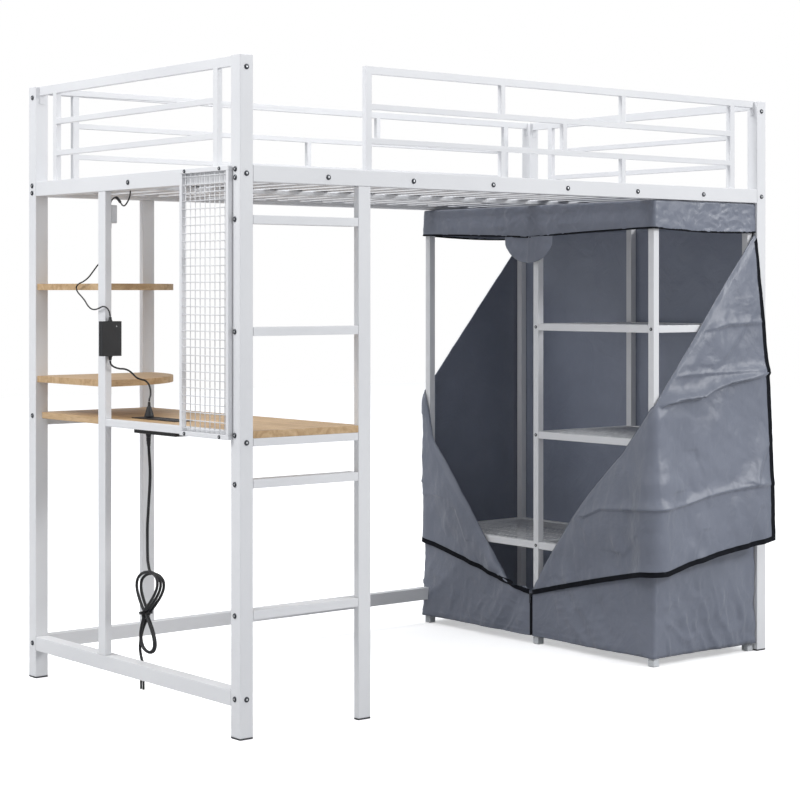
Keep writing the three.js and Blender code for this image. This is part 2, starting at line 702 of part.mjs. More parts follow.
// Zip slider at the top of the closed part of the centre zip, and its pull tab.
const sliderX = [coverFrontX - 4.3, coverFrontX - gap];
const sliderZ = [zipOpenZ - 12, zipOpenZ];
const sliderY = [coverCentreY - 4, coverCentreY + 4];
add("zip_slider", box(...sliderX, ...sliderY, ...sliderZ), zipMetal);
const pullX = [sliderX[0] - 3, sliderX[0] - 1.5];
const pullY = [coverCentreY - 3, coverCentreY + 3];
add("zip_pull", box(...pullX, ...pullY, sliderZ[0] - 20, sliderZ[1] - 3), zipMetal);

// ---------------------------------------------------------------------------------------------
// Light kit and power
// ---------------------------------------------------------------------------------------------

// Light controller on the inner face of the end middle post.
const controllerX = [-endPostInX + gap, -endPostInX + 19];
const controllerY = [110, 145];
const controllerZ = [1301, 1351];
add("light_controller", box(...controllerX, ...controllerY, ...controllerZ), greyPlastic);

// Light strip along the inner face of the bed rail at the desk end, from the beam to the back.
const lightStripX = [-postInX + gap, -postInX + 3.3];
const lightStripZ = [1390.5, 1400.5];
add("light_strip", box(...lightStripX, beamWidth / 2 + 4, endStileY + 60, ...lightStripZ), greyPlastic);

// Mains adapter on the near face of the end middle post, with a strain relief at each end.
const adapterX = -endX + 9.5;
const adapterY = [88.7, endPostNearY - gap];
const adapterMidY = (adapterY[0] + adapterY[1]) / 2;
const adapterZ = [938, 1033];
const reliefReach = 12;

function cylinderZ(x, y, z0, z1, radius, sides = 16) {
  const geometry = new THREE.CylinderGeometry(radius, radius, z1 - z0, sides);
  geometry.rotateX(Math.PI / 2);
  return geometry.translate(x, y, (z0 + z1) / 2);
}

function adapter() {
  const halfWidth = 30;
  return join([
    box(adapterX - halfWidth, adapterX + halfWidth, ...adapterY, ...adapterZ),
    cylinderZ(adapterX, adapterMidY, adapterZ[1] - 1, adapterZ[1] + reliefReach, 5),
    cylinderZ(adapterX, adapterMidY, adapterZ[0] - reliefReach, adapterZ[0] + 1, 5),
  ]);
}
add("adapter", adapter(), blackPlastic);

// Power strip let into the desk board, with a lip that rests on it.
const lipZ = [deskTop + gap, deskTop + 3];
const stripBottom = deskTop - stripBodyDepth;
function powerStrip() {
  const lip = box(...stripX, ...stripY, ...lipZ);
  const bodyX = [stripX[0] + stripLip, stripX[1] - stripLip];
  const bodyY = [stripY[0] + stripLip, stripY[1] - stripLip];
  return join([lip, box(...bodyX, ...bodyY, stripBottom, deskTop + 1)]);
}
add("power_strip", powerStrip(), blackPlastic);

// Flared plug standing in the power strip.
const plugX = stripX[0] + 27;
const plugY = 48;
const plugTop = 812;
const plugBottom = lipZ[1] + gap;
function lampPlug() {
  const height = plugTop - plugBottom;
  const profile = [[0, 0], [13, 0], [13, 5], [6.5, height * 0.66], [4.2, height * 0.72], [3.4, height], [0, height]];
  const points = profile.map(([r, z]) => new THREE.Vector2(r, z));
  const body = new THREE.LatheGeometry(points, 20).rotateX(Math.PI / 2);
  return body.translate(plugX, plugY, plugBottom);
}
add("lamp_plug", lampPlug(), blackPlastic);

// Lead from the controller to the light strip: a short loop under the end rail.
const lightLead = [
  [-961, 131, controllerZ[1] + cordGap],
  [-960, 130.5, 1358],
  [-957, 128, 1366],
  [-955, 120, 1371],
  [-955, 108, 1371],
  [-955, 97, 1365],
  [-955, 85, 1355],
  [-955, 75, 1348.5],
  [-954, 66, 1348.5],
  [-952, 58, 1356],
  [-948.6, 53, 1367],
  [-947.2, 50, 1379],
  [-947.2, 49, lightStripZ[0] - cordGap],
];
const thinCord = 4;
add("light_lead", cordTube(lightLead, thinCord, 36), blackCord);

// Lead from the controller round the end middle post to the adapter.
const adapterLead = [
  [-961, 128, controllerZ[0] - cordGap],
  [-961, 129, 1285],
  [-961, 134, 1262],
  [-961.5, 143, 1238],
  [-964, 152, 1216],
  [-972, 157, 1200],
  [-984, 160, 1186],
  [-992, 172, 1168],
  [-995, 190, 1153],
  [-996, 215, 1142],
  [-997, 240, 1135],
  [-997.5, 252, 1126],
  [-998, 244, 1113],
  [-998, 224, 1101],
  [-998, 205, 1089],
  [-998, 188, 1075],
  [-998, 168, 1066],
  [-998, 146, 1065],
  [-998, 126, 1069],
  [-997, 110, 1073],
  [-991, 101, 1070],
  [-984, 98.7, 1060],
  [adapterX, 98.7, adapterZ[1] + reliefReach + cordGap],
];
add("adapter_lead", cordTube(adapterLead, thinCord, 62), blackCord);

// Lead from the adapter down to the plug in the power strip.
const plugLead = [
  [adapterX, 98.7, adapterZ[0] - reliefReach - cordGap],
  [-979.5, 98, 918],
  [-975, 96, 911],
  [-966, 93, 906],
  [-954, 91, 903],
  [-942, 88, 902],
  [-930, 84, 897],
  [-920, 80, 888],
  [-910, 77, 878],
  [-898, 74, 873],
  [-887, 69, 869],
  [-880, 63, 859],
  [-878.5, 57, 845],
  [-881, 52, 831],
  [-886, 49, 821],
  [plugX, plugY, plugTop + cordGap],
];
const lampCord = 5;
add("plug_lead", cordTube(plugLead, lampCord, 40), blackCord);

// Mains lead of the power strip: down from its underside to the hank, and its tail to the plug.
const mainsCord = 8;
const hankTopZ = 358;
const hankBottomZ = 122;
const mainsX = stripX[0] + 25;
const mainsLead = [
  [mainsX, 48, stripBottom - cordGap],
  [mainsX, 48, 708],
  [mainsX, 46, 680],
  [mainsX, 42, 648],
  [mainsX, 40, 615],
  [mainsX, 42, 580],
  [mainsX, 46, 545],
  [mainsX, 50, 508],
  [mainsX, 52, 472],
  [mainsX, 49, 436],
  [mainsX, 42, 405],
  [mainsX, 36, 380],
  [mainsX, 33, hankTopZ + cordGap],
];
add("mains_lead", cordTube(mainsLead, mainsCord, 20), blackCord);

// The tied hank as the solid that its turns fill: a wide upper loop, a waist and a lower fan.
// The tail of the cord leaves the fan and goes down to the plug.
const mainsPlugTop = 90;
const mainsTail = [
  [mainsX, 72, hankBottomZ + 10],
  [mainsX, 74, 122],
  [mainsX, 77, 110],
  [mainsX, 79, 99],
  [mainsX, 80, mainsPlugTop + cordGap],
];

function hank() {
  const halfThick = 14;
  const waistY = 60;
  const waistZ = 232;
  const outline = new THREE.Shape();
  outline.moveTo(waistY - 12, waistZ);
  outline.bezierCurveTo(waistY - 30, waistZ + 40, -30, hankTopZ - 10, 33, hankTopZ);
  outline.bezierCurveTo(105, hankTopZ, 145, hankTopZ - 60, waistY + 14, waistZ);
  outline.bezierCurveTo(waistY + 22, waistZ - 35, 88, hankBottomZ + 20, 76, hankBottomZ);
  outline.lineTo(12, hankBottomZ);
  outline.bezierCurveTo(-10, hankBottomZ + 20, waistY - 30, waistZ - 35, waistY - 12, waistZ);
  const options = { depth: 2 * halfThick, bevelEnabled: false, curveSegments: 8 };
  const turns = new THREE.ExtrudeGeometry(outline, options).applyMatrix4(layAlong("x"));
  return join([turns.translate(mainsX - halfThick, 0, 0), cordTube(mainsTail, mainsCord, 6)]);
}
add("mains_hank", hank(), blackCord);

// Mains plug with two flat pins, hanging at the end of the tail.
function mainsPlug() {
  const pinBottom = 20;
  const bodyBottom = 47;
  const pinHalfSpacing = 6.5;
  const pieces = [
    box(mainsX - 9, mainsX + 9, 67, 93, bodyBottom, 76),
    cylinderZ(mainsX, 80, 70, mainsPlugTop, 6),
  ];
  for (const side of [-1, 1]) {
    const y = 80 + side * pinHalfSpacing;
    pieces.push(box(mainsX - 3.2, mainsX + 3.2, y - 0.9, y + 0.9, pinBottom, bodyBottom + 1));
  }
  return join(pieces);
}
add("mains_plug", mainsPlug(), blackPlastic);

// ---------------------------------------------------------------------------------------------
// Place the whole so that its origin is the bottom centre of everything but the loose cords
// ---------------------------------------------------------------------------------------------

const cordPieces = ["light_lead", "adapter_lead", "adapter", "plug_lead", "lamp_plug"];
cordPieces.push("mains_lead", "mains_hank", "mains_plug");
const extent = new THREE.Box3();
bed.children.forEach((mesh) => {
  if (!cordPieces.includes(mesh.name)) extent.expandByObject(mesh);
});
const centre = extent.getCenter(new THREE.Vector3());
bed.position.set(-centre.x, -centre.y, -extent.min.z);

export default bed;
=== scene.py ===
"""Loft bed with a desk and a cloth-covered wardrobe: materials, cloth, cords and small fittings.

Everything is in metres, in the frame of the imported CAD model. Helpers take millimetres measured from
the middle of the bed at floor level, as bed(x, y, z), because that is how the pieces are drawn.
"""
import math

import bmesh
import bpy
from mathutils import Matrix, Vector, noise


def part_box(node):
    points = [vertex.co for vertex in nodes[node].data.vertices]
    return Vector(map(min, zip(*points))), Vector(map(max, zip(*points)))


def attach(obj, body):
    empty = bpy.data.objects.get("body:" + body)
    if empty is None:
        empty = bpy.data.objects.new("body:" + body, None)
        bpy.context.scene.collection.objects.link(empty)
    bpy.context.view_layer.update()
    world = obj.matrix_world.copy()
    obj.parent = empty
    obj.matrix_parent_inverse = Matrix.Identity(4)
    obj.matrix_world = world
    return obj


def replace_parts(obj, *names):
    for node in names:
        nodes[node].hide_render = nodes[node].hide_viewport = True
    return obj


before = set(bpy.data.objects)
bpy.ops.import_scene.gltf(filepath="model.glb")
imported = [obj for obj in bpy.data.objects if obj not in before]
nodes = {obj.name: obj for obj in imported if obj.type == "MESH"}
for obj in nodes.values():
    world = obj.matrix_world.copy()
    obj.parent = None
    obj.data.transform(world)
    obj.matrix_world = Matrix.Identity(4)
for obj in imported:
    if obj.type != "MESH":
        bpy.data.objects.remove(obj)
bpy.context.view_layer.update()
scene = bpy.context.scene

MM = 0.001
POST_LOW, POST_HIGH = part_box("post_front_left")[0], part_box("post_front_right")[1]
BED_MIDDLE_X = (POST_LOW[0] + POST_HIGH[0]) / 2
HALF_LENGTH = (POST_HIGH[0] - POST_LOW[0]) / 2 / MM
HALF_WIDTH = -POST_LOW[1] / MM


def bed(x, y, z):
    """A point given in millimetres from the middle of the bed, at floor level."""
    return Vector((BED_MIDDLE_X + x * MM, y * MM, z * MM))


def node_box(name):
    """A CAD node's lowest and highest corners in bed millimetres."""
    return [[(corner[0] - BED_MIDDLE_X) / MM, corner[1] / MM, corner[2] / MM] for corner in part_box(name)]


# ---- Camera ----

CAMERA_PLACE = bed(-3794.8, -4602.0, 1114.4)
CAMERA_TURN = -39.449  # degrees about Z; the camera is level
SENSOR = 36.0
LENS = 89.38
SHIFT = (-0.0106, -0.1358)


def make_camera():
    data = bpy.data.cameras.new("camera")
    data.sensor_width = SENSOR
    data.lens = LENS
    data.shift_x, data.shift_y = SHIFT
    data.clip_end = 100
    camera = bpy.data.objects.new("camera", data)
    camera.location = CAMERA_PLACE
    camera.rotation_euler = (math.radians(90), 0, math.radians(CAMERA_TURN))
    scene.collection.objects.link(camera)
    scene.camera = camera


make_camera()

# ---- Materials ----


class Shader:
    """A node material with a few short ways to add and link nodes."""

    def __init__(self, name, color, roughness, metallic=0.0):
        self.material = bpy.data.materials.new(name)
        self.material.use_nodes = True
        self.tree = self.material.node_tree
        self.bsdf = self.tree.nodes["Principled BSDF"]
        self.bsdf.inputs["Base Color"].default_value = (*color, 1)
        self.bsdf.inputs["Roughness"].default_value = roughness
        self.bsdf.inputs["Metallic"].default_value = metallic

    def node(self, kind, **values):
        made = self.tree.nodes.new(kind)
        for key, value in values.items():
            if key in made.inputs:
                made.inputs[key].default_value = value
            else:
                setattr(made, key, value)
        return made

    def link(self, source, target):
        self.tree.links.new(source, target)

    def coordinates(self, stretch=(1, 1, 1)):
        source = self.node("ShaderNodeTexCoord")
        mapping = self.node("ShaderNodeMapping")
        mapping.inputs["Scale"].default_value = stretch
        self.link(source.outputs["Object"], mapping.inputs["Vector"])
        return mapping.outputs["Vector"]

    def noise(self, scale, stretch=(1, 1, 1), detail=3.0, distortion=0.0):
        made = self.node("ShaderNodeTexNoise", Scale=scale, Detail=detail, Distortion=distortion)
        self.link(self.coordinates(stretch), made.inputs["Vector"])
        return made.outputs["Fac"]

    def ramp(self, source, stops):
        made = self.node("ShaderNodeValToRGB")
        elements = made.color_ramp.elements
        while len(elements) < len(stops):
            elements.new(0.5)
        for element, (place, color) in zip(elements, stops):
            element.position = place
            element.color = (*color, 1)
        self.link(source, made.inputs["Fac"])
        return made.outputs["Color"]

    def paint(self, source):
        self.link(source, self.bsdf.inputs["Base Color"])

    def mottle(self, scale, dark, light, spread=0.2, detail=3.0):
        """Base colour that drifts between two tones."""
        drift = self.noise(scale, detail=detail)
        self.paint(self.ramp(drift, [(0.5 - spread, dark), (0.5 + spread, light)]))

    def shine(self, source, low, high):
        """Roughness between low and high."""
        made = self.node("ShaderNodeMapRange")
        made.inputs["To Min"].default_value = low
        made.inputs["To Max"].default_value = high
        self.link(source, made.inputs["Value"])
        self.link(made.outputs["Result"], self.bsdf.inputs["Roughness"])

    def relief(self, source, strength, distance):
        """A bump in metres on top of the relief that is already there."""
        made = self.node("ShaderNodeBump", Strength=strength, Distance=distance)
        self.link(source, made.inputs["Height"])
        normal = self.bsdf.inputs["Normal"]
        if normal.is_linked:
            self.link(normal.links[0].from_socket, made.inputs["Normal"])
        self.link(made.outputs["Normal"], normal)


def white_steel():
    """Powder coat: nearly white, satin, with a fine orange peel and faint uneven gloss."""
    shader = Shader("white_powder_coat", (0.74, 0.745, 0.76), 0.38)
    shader.mottle(3.0, (0.72, 0.725, 0.745), (0.76, 0.765, 0.78))
    shader.shine(shader.noise(14.0), 0.32, 0.46)
    shader.relief(shader.noise(650.0, detail=2.0), 0.18, 0.00012)
    shader.bsdf.inputs["Coat Weight"].default_value = 0.12
    shader.bsdf.inputs["Coat Roughness"].default_value = 0.25
    return shader.material


def wire_steel():
    """The shelves' wires: the same coat, thinner, so that its tone changes along the wire."""
    shader = Shader("wire_coat", (0.76, 0.77, 0.79), 0.4)
    shader.mottle(45.0, (0.68, 0.69, 0.71), (0.84, 0.85, 0.87), spread=0.15)
    return shader.material


def oak(name, grain_along_x):
    """Light oak facing: long streaks along the grain, fine pores, matt varnish."""
    shader = Shader(name, (0.62, 0.42, 0.22), 0.5)
    along, across = 1.1, 16.0
    stretch = (along, across, across) if grain_along_x else (across, along, across)
    streaks = shader.noise(2.4, stretch, detail=6.0, distortion=1.2)
    tones = [(0.28, (0.40, 0.25, 0.122)), (0.5, (0.53, 0.36, 0.195)), (0.72, (0.63, 0.45, 0.272))]
    grain = shader.ramp(streaks, tones)
    pore_stretch = tuple(value * (6 if value == across else 3) for value in stretch)
    pores = shader.noise(9.0, pore_stretch, detail=2.0)
    pore_tone = shader.ramp(pores, [(0.36, (0.62, 0.56, 0.5)), (0.47, (1, 1, 1))])
    mix = shader.node("ShaderNodeMix", data_type="RGBA", blend_type="MULTIPLY")
    mix.inputs["Factor"].default_value = 0.55
    shader.link(grain, mix.inputs["A"])
    shader.link(pore_tone, mix.inputs["B"])
    shader.paint(mix.outputs["Result"])
    shader.shine(streaks, 0.42, 0.6)
    shader.relief(pores, 0.25, 0.0002)
    return shader.material


CLOTH_TONES = [(0.146, 0.163, 0.21), (0.182, 0.2, 0.254)]


def weave(shader, pitch, depth):
    """Two crossed sets of threads, one round the cover and one up it."""
    for direction in ("DIAGONAL", "Z"):
        made = shader.node("ShaderNodeTexWave", Scale=0.5 / pitch, Distortion=0.6, bands_direction=direction)
        shader.link(shader.coordinates(), made.inputs["Vector"])
        shader.relief(made.outputs["Fac"], 0.35, depth)


def cover_cloth(name, lightness):
    """Blue-grey woven polyester: fine weave, slight sheen, tone that drifts a little; lightness scales its
    tones, and the back wall's lighter copy is painted light.
    """
    dark, light = [tuple(lightness * c for c in tone) for tone in CLOTH_TONES]
    shader = Shader(name, light, 0.45)
    shader.mottle(4.5, dark, light, detail=4.0)
    shader.shine(shader.noise(11.0), 0.3, 0.46)
    shader.bsdf.inputs["Specular IOR Level"].default_value = 0.7
    shader.bsdf.inputs["Sheen Weight"].default_value = 0.3
    shader.bsdf.inputs["Sheen Roughness"].default_value = 0.4
    shader.relief(shader.noise(7.0, detail=3.0, distortion=1.6), 0.55, 0.011)
    shader.relief(shader.noise(26.0, detail=5.0, distortion=0.5), 0.45, 0.002)
    weave(shader, 0.0009, 0.00012)
    return shader.material


def zip_tape():
    """Black woven tape that takes up nearly all light."""
    shader = Shader("zip_tape", (0.004, 0.005, 0.008), 0.8)
    shader.mottle(60.0, (0.003, 0.004, 0.006), (0.007, 0.008, 0.013))
    shader.bsdf.inputs["Specular IOR Level"].default_value = 0.16
    weave(shader, 0.0007, 0.0001)
    return shader.material


def moulded(name, color, roughness, grain=900.0):
    """Moulded plastic with a fine spark-eroded grain."""
    shader = Shader(name, color, roughness)
    shader.mottle(35.0, tuple(0.86 * c for c in color), tuple(1.12 * c for c in color))
    shader.shine(shader.noise(22.0), roughness - 0.06, roughness + 0.08)
    shader.relief(shader.noise(grain, detail=1.0), 0.25, 0.00008)
    return shader.material


def dark_zinc():
    """Dark plated screw: slightly mottled metal."""
    shader = Shader("dark_zinc", (0.07, 0.075, 0.085), 0.34, metallic=1.0)
    shader.mottle(160.0, (0.045, 0.048, 0.056), (0.11, 0.115, 0.125))
    shader.shine(shader.noise(240.0), 0.25, 0.45)
    shader.relief(shader.noise(900.0), 0.2, 0.0001)
    return shader.material


def bright_zinc():
    """Bright plated socket of a screw."""
    shader = Shader("bright_zinc", (0.78, 0.79, 0.8), 0.4, metallic=0.6)
    shader.shine(shader.noise(240.0), 0.35, 0.5)
    return shader.material


WHITE = white_steel()
WIRE = wire_steel()
OAK_ALONG_Y = oak("oak_desk", grain_along_x=False)
OAK_ALONG_X = oak("oak_shelf", grain_along_x=True)
CLOTH = cover_cloth("cover_cloth", 1.0)
# Painted light: the back wall is the same cloth painted 1.5 times lighter, standing in for the light that
# reaches its inside.
BACK_CLOTH_PAINTED_LIGHT = cover_cloth("cover_cloth_back_painted_light", 1.5)
TAPE = zip_tape()
CORD = moulded("cord_jacket", (0.010, 0.010, 0.012), 0.42, grain=500.0)
BLACK = moulded("black_plastic", (0.014, 0.014, 0.016), 0.42)
FOOT = moulded("foot_plastic", (0.045, 0.047, 0.052), 0.55)
FOOT_LIGHT = moulded("wardrobe_foot_plastic", (0.62, 0.64, 0.66), 0.45)
GREY = moulded("grey_plastic", (0.62, 0.63, 0.65), 0.4)
ZINC = dark_zinc()
BRIGHT = bright_zinc()

# ---- Mesh helpers ----


def piece(name, vertices, faces, material):
    """A new smooth mesh piece that rides on the bed."""
    mesh = bpy.data.meshes.new(name)
    mesh.from_pydata([tuple(v) for v in vertices], [], faces)
    mesh.validate()
    mesh.update()
    return finished(name, mesh, material)


def finished(name, mesh, material, smooth=True):
    made = bpy.data.objects.new(name, mesh)
    mesh.materials.append(material)
    mesh.polygons.foreach_set("use_smooth", [smooth] * len(mesh.polygons))
    scene.collection.objects.link(made)
    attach(made, "root")
    return made


WELD_REACH = 0.00002
SHARP = 38  # degrees, the least angle that is rounded


def bevel(target, width, segments=3):
    """Rounds the edges of a piece; a CAD mesh is welded first, because its faces come apart."""
    weld = target.modifiers.new("weld", "WELD")
    weld.merge_threshold = WELD_REACH
    made = target.modifiers.new("edges", "BEVEL")
    made.width = width * MM
    made.segments = segments
    made.limit_method = "ANGLE"
    made.angle_limit = math.radians(SHARP)
    made.harden_normals = True
    return target


class Pile:
    """Gathers simple solids, in bed millimetres, into one mesh piece."""

    def __init__(self):
        self.mesh = bmesh.new()

    def box(self, low, high):
        size = [b - a for a, b in zip(low, high)]
        middle = bed(*[(a + b) / 2 for a, b in zip(low, high)])
        matrix = Matrix.Translation(middle) @ Matrix.Diagonal((*[s * MM for s in size], 1))
        bmesh.ops.create_cube(self.mesh, size=1, matrix=matrix)

    def rod(self, start, end, radius, sides=8):
        a, b = bed(*start), bed(*end)
        turn = (b - a).to_track_quat("Z", "Y").to_matrix().to_4x4()
        matrix = Matrix.Translation((a + b) / 2) @ turn
        made = dict(cap_ends=True, segments=sides, radius1=radius * MM, radius2=radius * MM)
        bmesh.ops.create_cone(self.mesh, depth=(b - a).length, matrix=matrix, **made)

    def turned(self, place, axis, profile, sides=24):
        """A profile of (radius, height) pairs turned about an axis through a point."""
        turn = axis.to_track_quat("Z", "Y").to_matrix().to_4x4()
        matrix = Matrix.Translation(place) @ turn
        rings = []
        for radius, height in profile:
            if radius == 0:
                rings.append([self.mesh.verts.new(matrix @ Vector((0, 0, height * MM)))])
                continue
            ring = []
            for i in range(sides):
                angle = 2 * math.pi * i / sides
                spot = Vector((radius * MM * math.cos(angle), radius * MM * math.sin(angle), height * MM))
                ring.append(self.mesh.verts.new(matrix @ spot))
            rings.append(ring)
        for low, high in zip(rings, rings[1:]):
            for i in range(sides):
                j = (i + 1) % sides
                if len(low) == 1 and len(high) == 1:
                    continue
                if len(low) == 1:
                    self.mesh.faces.new((low[0], high[i], high[j]))
                elif len(high) == 1:
                    self.mesh.faces.new((low[i], high[0], low[j]))
                else:
                    self.mesh.faces.new((low[i], high[i], high[j], low[j]))
        self.mesh.faces.new(rings[0])

    def done(self, name, material, smooth=True):
        bmesh.ops.recalc_face_normals(self.mesh, faces=self.mesh.faces)
        mesh = bpy.data.meshes.new(name)
        self.mesh.to_mesh(mesh)
        self.mesh.free()
        return finished(name, mesh, material, smooth)

    def rounded(self, name, material, slot, edge, segments=3):
        """The flat-sided piece with its edges rounded."""
        return bevel(self.done(name, material, smooth=False), edge, segments)


def smooth_by_angle(target, degrees=35):
    """Keeps the hard edges of a smooth-shaded piece."""
    limit = math.radians(degrees)
    made = bmesh.new()
    made.from_mesh(target.data)
    for edge in made.edges:
        edge.smooth = len(edge.link_faces) == 2 and edge.calc_face_angle(0) < limit
    made.to_mesh(target.data)
    made.free()
    return target


# ---- Cords ----


def smooth_route(points, steps=8):
    """Catmull-Rom through points, all in bed millimetres."""
    spots = [Vector(p) for p in points]
    spots = [2 * spots[0] - spots[1]] + spots + [2 * spots[-1] - spots[-2]]
    route = []
    for i in range(1, len(spots) - 2):
        a, b, c, d = spots[i - 1:i + 3]
        for k in range(steps):
            t = k / steps
            route.append(0.5 * (2 * b + (c - a) * t + (2 * a - 5 * b + 4 * c - d) * t * t
                                + (3 * b - a - 3 * c + d) * t ** 3))
    route.append(spots[-2])
    return route


def cord_curve(name, route, diameter):
    """A round cord as a curve of one open spline."""
    data = bpy.data.curves.new(name, "CURVE")
    data.dimensions = "3D"
    data.bevel_depth = diameter / 2 * MM
    data.bevel_resolution = 4
    data.use_fill_caps = True
    spline = data.splines.new("POLY")
    spline.points.add(len(route) - 1)
    for point, spot in zip(spline.points, route):
        point.co = (*bed(*spot), 1)
    spline.use_smooth = True
    made = bpy.data.objects.new(name, data)
    data.materials.append(CORD)
    scene.collection.objects.link(made)
    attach(made, "root")
    return made


def sleeve(name, route, start, end, radius_at, sides=16, rings=24):
    """A body of changing radius along part of a route, from start to end in millimetres along it."""
    lengths = [0.0]
    for a, b in zip(route, route[1:]):
        lengths.append(lengths[-1] + (b - a).length)
    vertices, faces = [], []
    for i in range(rings + 1):
        share = i / rings
        want = start + (end - start) * share
        k = max(j for j in range(len(route) - 1) if lengths[j] <= want or j == 0)
        t = (want - lengths[k]) / (lengths[k + 1] - lengths[k])
        spot = route[k].lerp(route[k + 1], t)
        turn = (route[k + 1] - route[k]).to_track_quat("Z", "Y")
        for j in range(sides):
            angle = 2 * math.pi * j / sides
            arm = turn @ Vector((math.cos(angle), math.sin(angle), 0)) * radius_at(share)
            vertices.append(bed(*(spot + arm)))
        if i:
            low, high = (i - 1) * sides, i * sides
            for j in range(sides):
                after = (j + 1) % sides
                faces.append((low + j, low + after, high + after, high + j))
    faces.append(tuple(reversed(range(sides))))
    faces.append(tuple(range(rings * sides, (rings + 1) * sides)))
    return smooth_by_angle(piece(name, vertices, faces, BLACK), 50)


LIGHT_LEAD = [
    (-961, 131, 1351.9), (-960, 130.5, 1358), (-957, 128, 1366), (-955, 120, 1371), (-955, 108, 1371),
    (-955, 97, 1365), (-955, 85, 1355), (-955, 75, 1348.5), (-954, 66, 1348.5), (-952, 58, 1356),
    (-948.6, 53, 1367), (-947.2, 50, 1379), (-947.2, 49, 1389.6),
]
ADAPTER_LEAD = [
    (-961, 128, 1300.1), (-961, 129, 1285), (-961, 134, 1262), (-961.5, 143, 1238), (-964, 152, 1216),
    (-972, 157, 1200), (-984, 160, 1186), (-992, 172, 1168), (-995, 190, 1153), (-996, 215, 1142),
    (-997, 240, 1135), (-997.5, 252, 1126), (-998, 244, 1113), (-998, 224, 1101), (-998, 205, 1089),
    (-998, 188, 1075), (-998, 168, 1066), (-998, 146, 1065), (-998, 126, 1069), (-997, 110, 1073),
    (-991, 101, 1070), (-984, 98.7, 1060), (-980.5, 98.7, 1045.9),
]
PLUG_LEAD = [
    (-980.5, 98.7, 925.1), (-979.5, 98, 918), (-975, 96, 911), (-966, 93, 906), (-954, 91, 903),
    (-942, 88, 902), (-930, 84, 897), (-920, 80, 888), (-910, 77, 878), (-898, 74, 873), (-887, 69, 869),
    (-880, 63, 859), (-878.5, 57, 845), (-881, 52, 831), (-886, 49, 821), (-888, 48, 812.9),
]
MAINS_DROP = [
    (-890, 48, 725.1), (-890, 48, 708), (-890, 46, 680), (-890, 42, 648), (-890, 40, 615),
    (-890, 42, 580), (-890, 46, 545), (-890, 50, 508), (-891, 52, 472), (-893, 49, 436),
    (-897, 42, 405), (-900, 36, 380),
]
MAINS_TAIL = [
    (-884, 86, 186), (-887, 92, 160), (-890, 92, 135), (-890, 87, 112), (-890, 81, 99), (-890, 80, 90.9),
]
HANK_WAIST = (61, 234)  # y and z where the tie holds the turns
HANK_TOP = 353
HANK_BOTTOM = 130
HANK_TURNS = 2.25
HANK_X = (-904, 27)  # where its first turn lies, and how far the turns spread along X
MAINS_CORD = 8.0
THIN_CORD = 4.0
LAMP_CORD = 5.0


def hank_turns():
    """Two and a quarter figure-of-eight turns that cross at the tie, side by side along X."""
    per_turn = 48
    count = int(HANK_TURNS * per_turn)
    turns = []
    for i in range(count + 1):
        angle = 2 * math.pi * i / per_turn
        up = math.cos(angle)
        swing = math.sin(2 * angle)
        turn = i / per_turn
        reach = 1 - 0.045 * math.floor(turn + 0.25)
        if up > 0:
            z = HANK_WAIST[1] + (HANK_TOP - HANK_WAIST[1]) * up * reach
            middle = HANK_WAIST[0] - 28 * up
            width = (58 if swing > 0 else 64) * reach
        else:
            z = HANK_WAIST[1] + (HANK_WAIST[1] - HANK_BOTTOM) * up * (2 - reach)
            middle = HANK_WAIST[0] + 18 * up + 14 * (turn - 1)
            width = 34 * (2 - reach)
        x = HANK_X[0] + HANK_X[1] * i / count
        turns.append(Vector((x, middle - width * swing, z)))
    return turns


def tapered(thick, thin):
    """Radius of a ribbed strain relief that narrows along its length."""
    return lambda share: thick + (thin - thick) * share + 0.35 * math.sin(share * 26)


def make_cords():
    light = smooth_route(LIGHT_LEAD)
    adapter = smooth_route(ADAPTER_LEAD)
    plug = smooth_route(PLUG_LEAD)
    drop = smooth_route(MAINS_DROP)
    tail = smooth_route(MAINS_TAIL)
    turns = hank_turns()
    join_in = smooth_route([drop[-3], drop[-1], turns[1], turns[3]], 6)[6:-6]
    join_out = smooth_route([turns[-3], turns[-1], tail[0], tail[2]], 6)[6:-6]
    mains = drop[:-1] + join_in + turns[2:-1] + join_out + tail[1:]

    barrel = sleeve("light_lead_connector", light, 34, 62, lambda t: 3.9 if 0.06 < t < 0.94 else 3.0)
    relief = sleeve("mains_strain_relief", mains, 0.3, 34, tapered(7.4, 4.9))
    tie = hank_tie()
    free_cord("light_lead_cord", light, THIN_CORD, ["light_lead"])
    free_cord("adapter_lead_cord", adapter, THIN_CORD, ["adapter_lead"])
    free_cord("plug_lead_cord", plug, LAMP_CORD, ["plug_lead"])
    free_cord("mains_cord", mains, MAINS_CORD, ["mains_lead", "mains_hank"])


def free_cord(name, route, diameter, stands_for):
    """A cord in place of its CAD nodes, which it hides."""
    made = cord_curve(name, route, diameter)
    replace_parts(made, *stands_for)


def hank_tie():
    """A soft twist tie that goes twice round the waist of the hank."""
    route = []
    for i in range(73):
        angle = 2 * math.pi * i / 36
        route.append(Vector((-890.5 + 20.5 * math.cos(angle), HANK_WAIST[0] + 8.5 * math.sin(angle),
                             HANK_WAIST[1] - 4 + i / 9)))
    return sleeve("hank_tie", route, 0, 150, lambda share: 1.6, rings=70, sides=8)


make_cords()

# ---- The CAD nodes that stay: materials and softened edges ----

TUBES = (
    "post_", "ladder_", "end_middle_post", "back_middle_post", "bed_rail_", "low_rail_", "desk_rail_",
)
WELDED = ("guard_", "slat_base", "centre_beam", "wardrobe_frame")


def dress(name, material, width, segments=3):
    target = nodes[name]
    target.data.materials.clear()
    target.data.materials.append(material)
    bevel(target, width, segments)


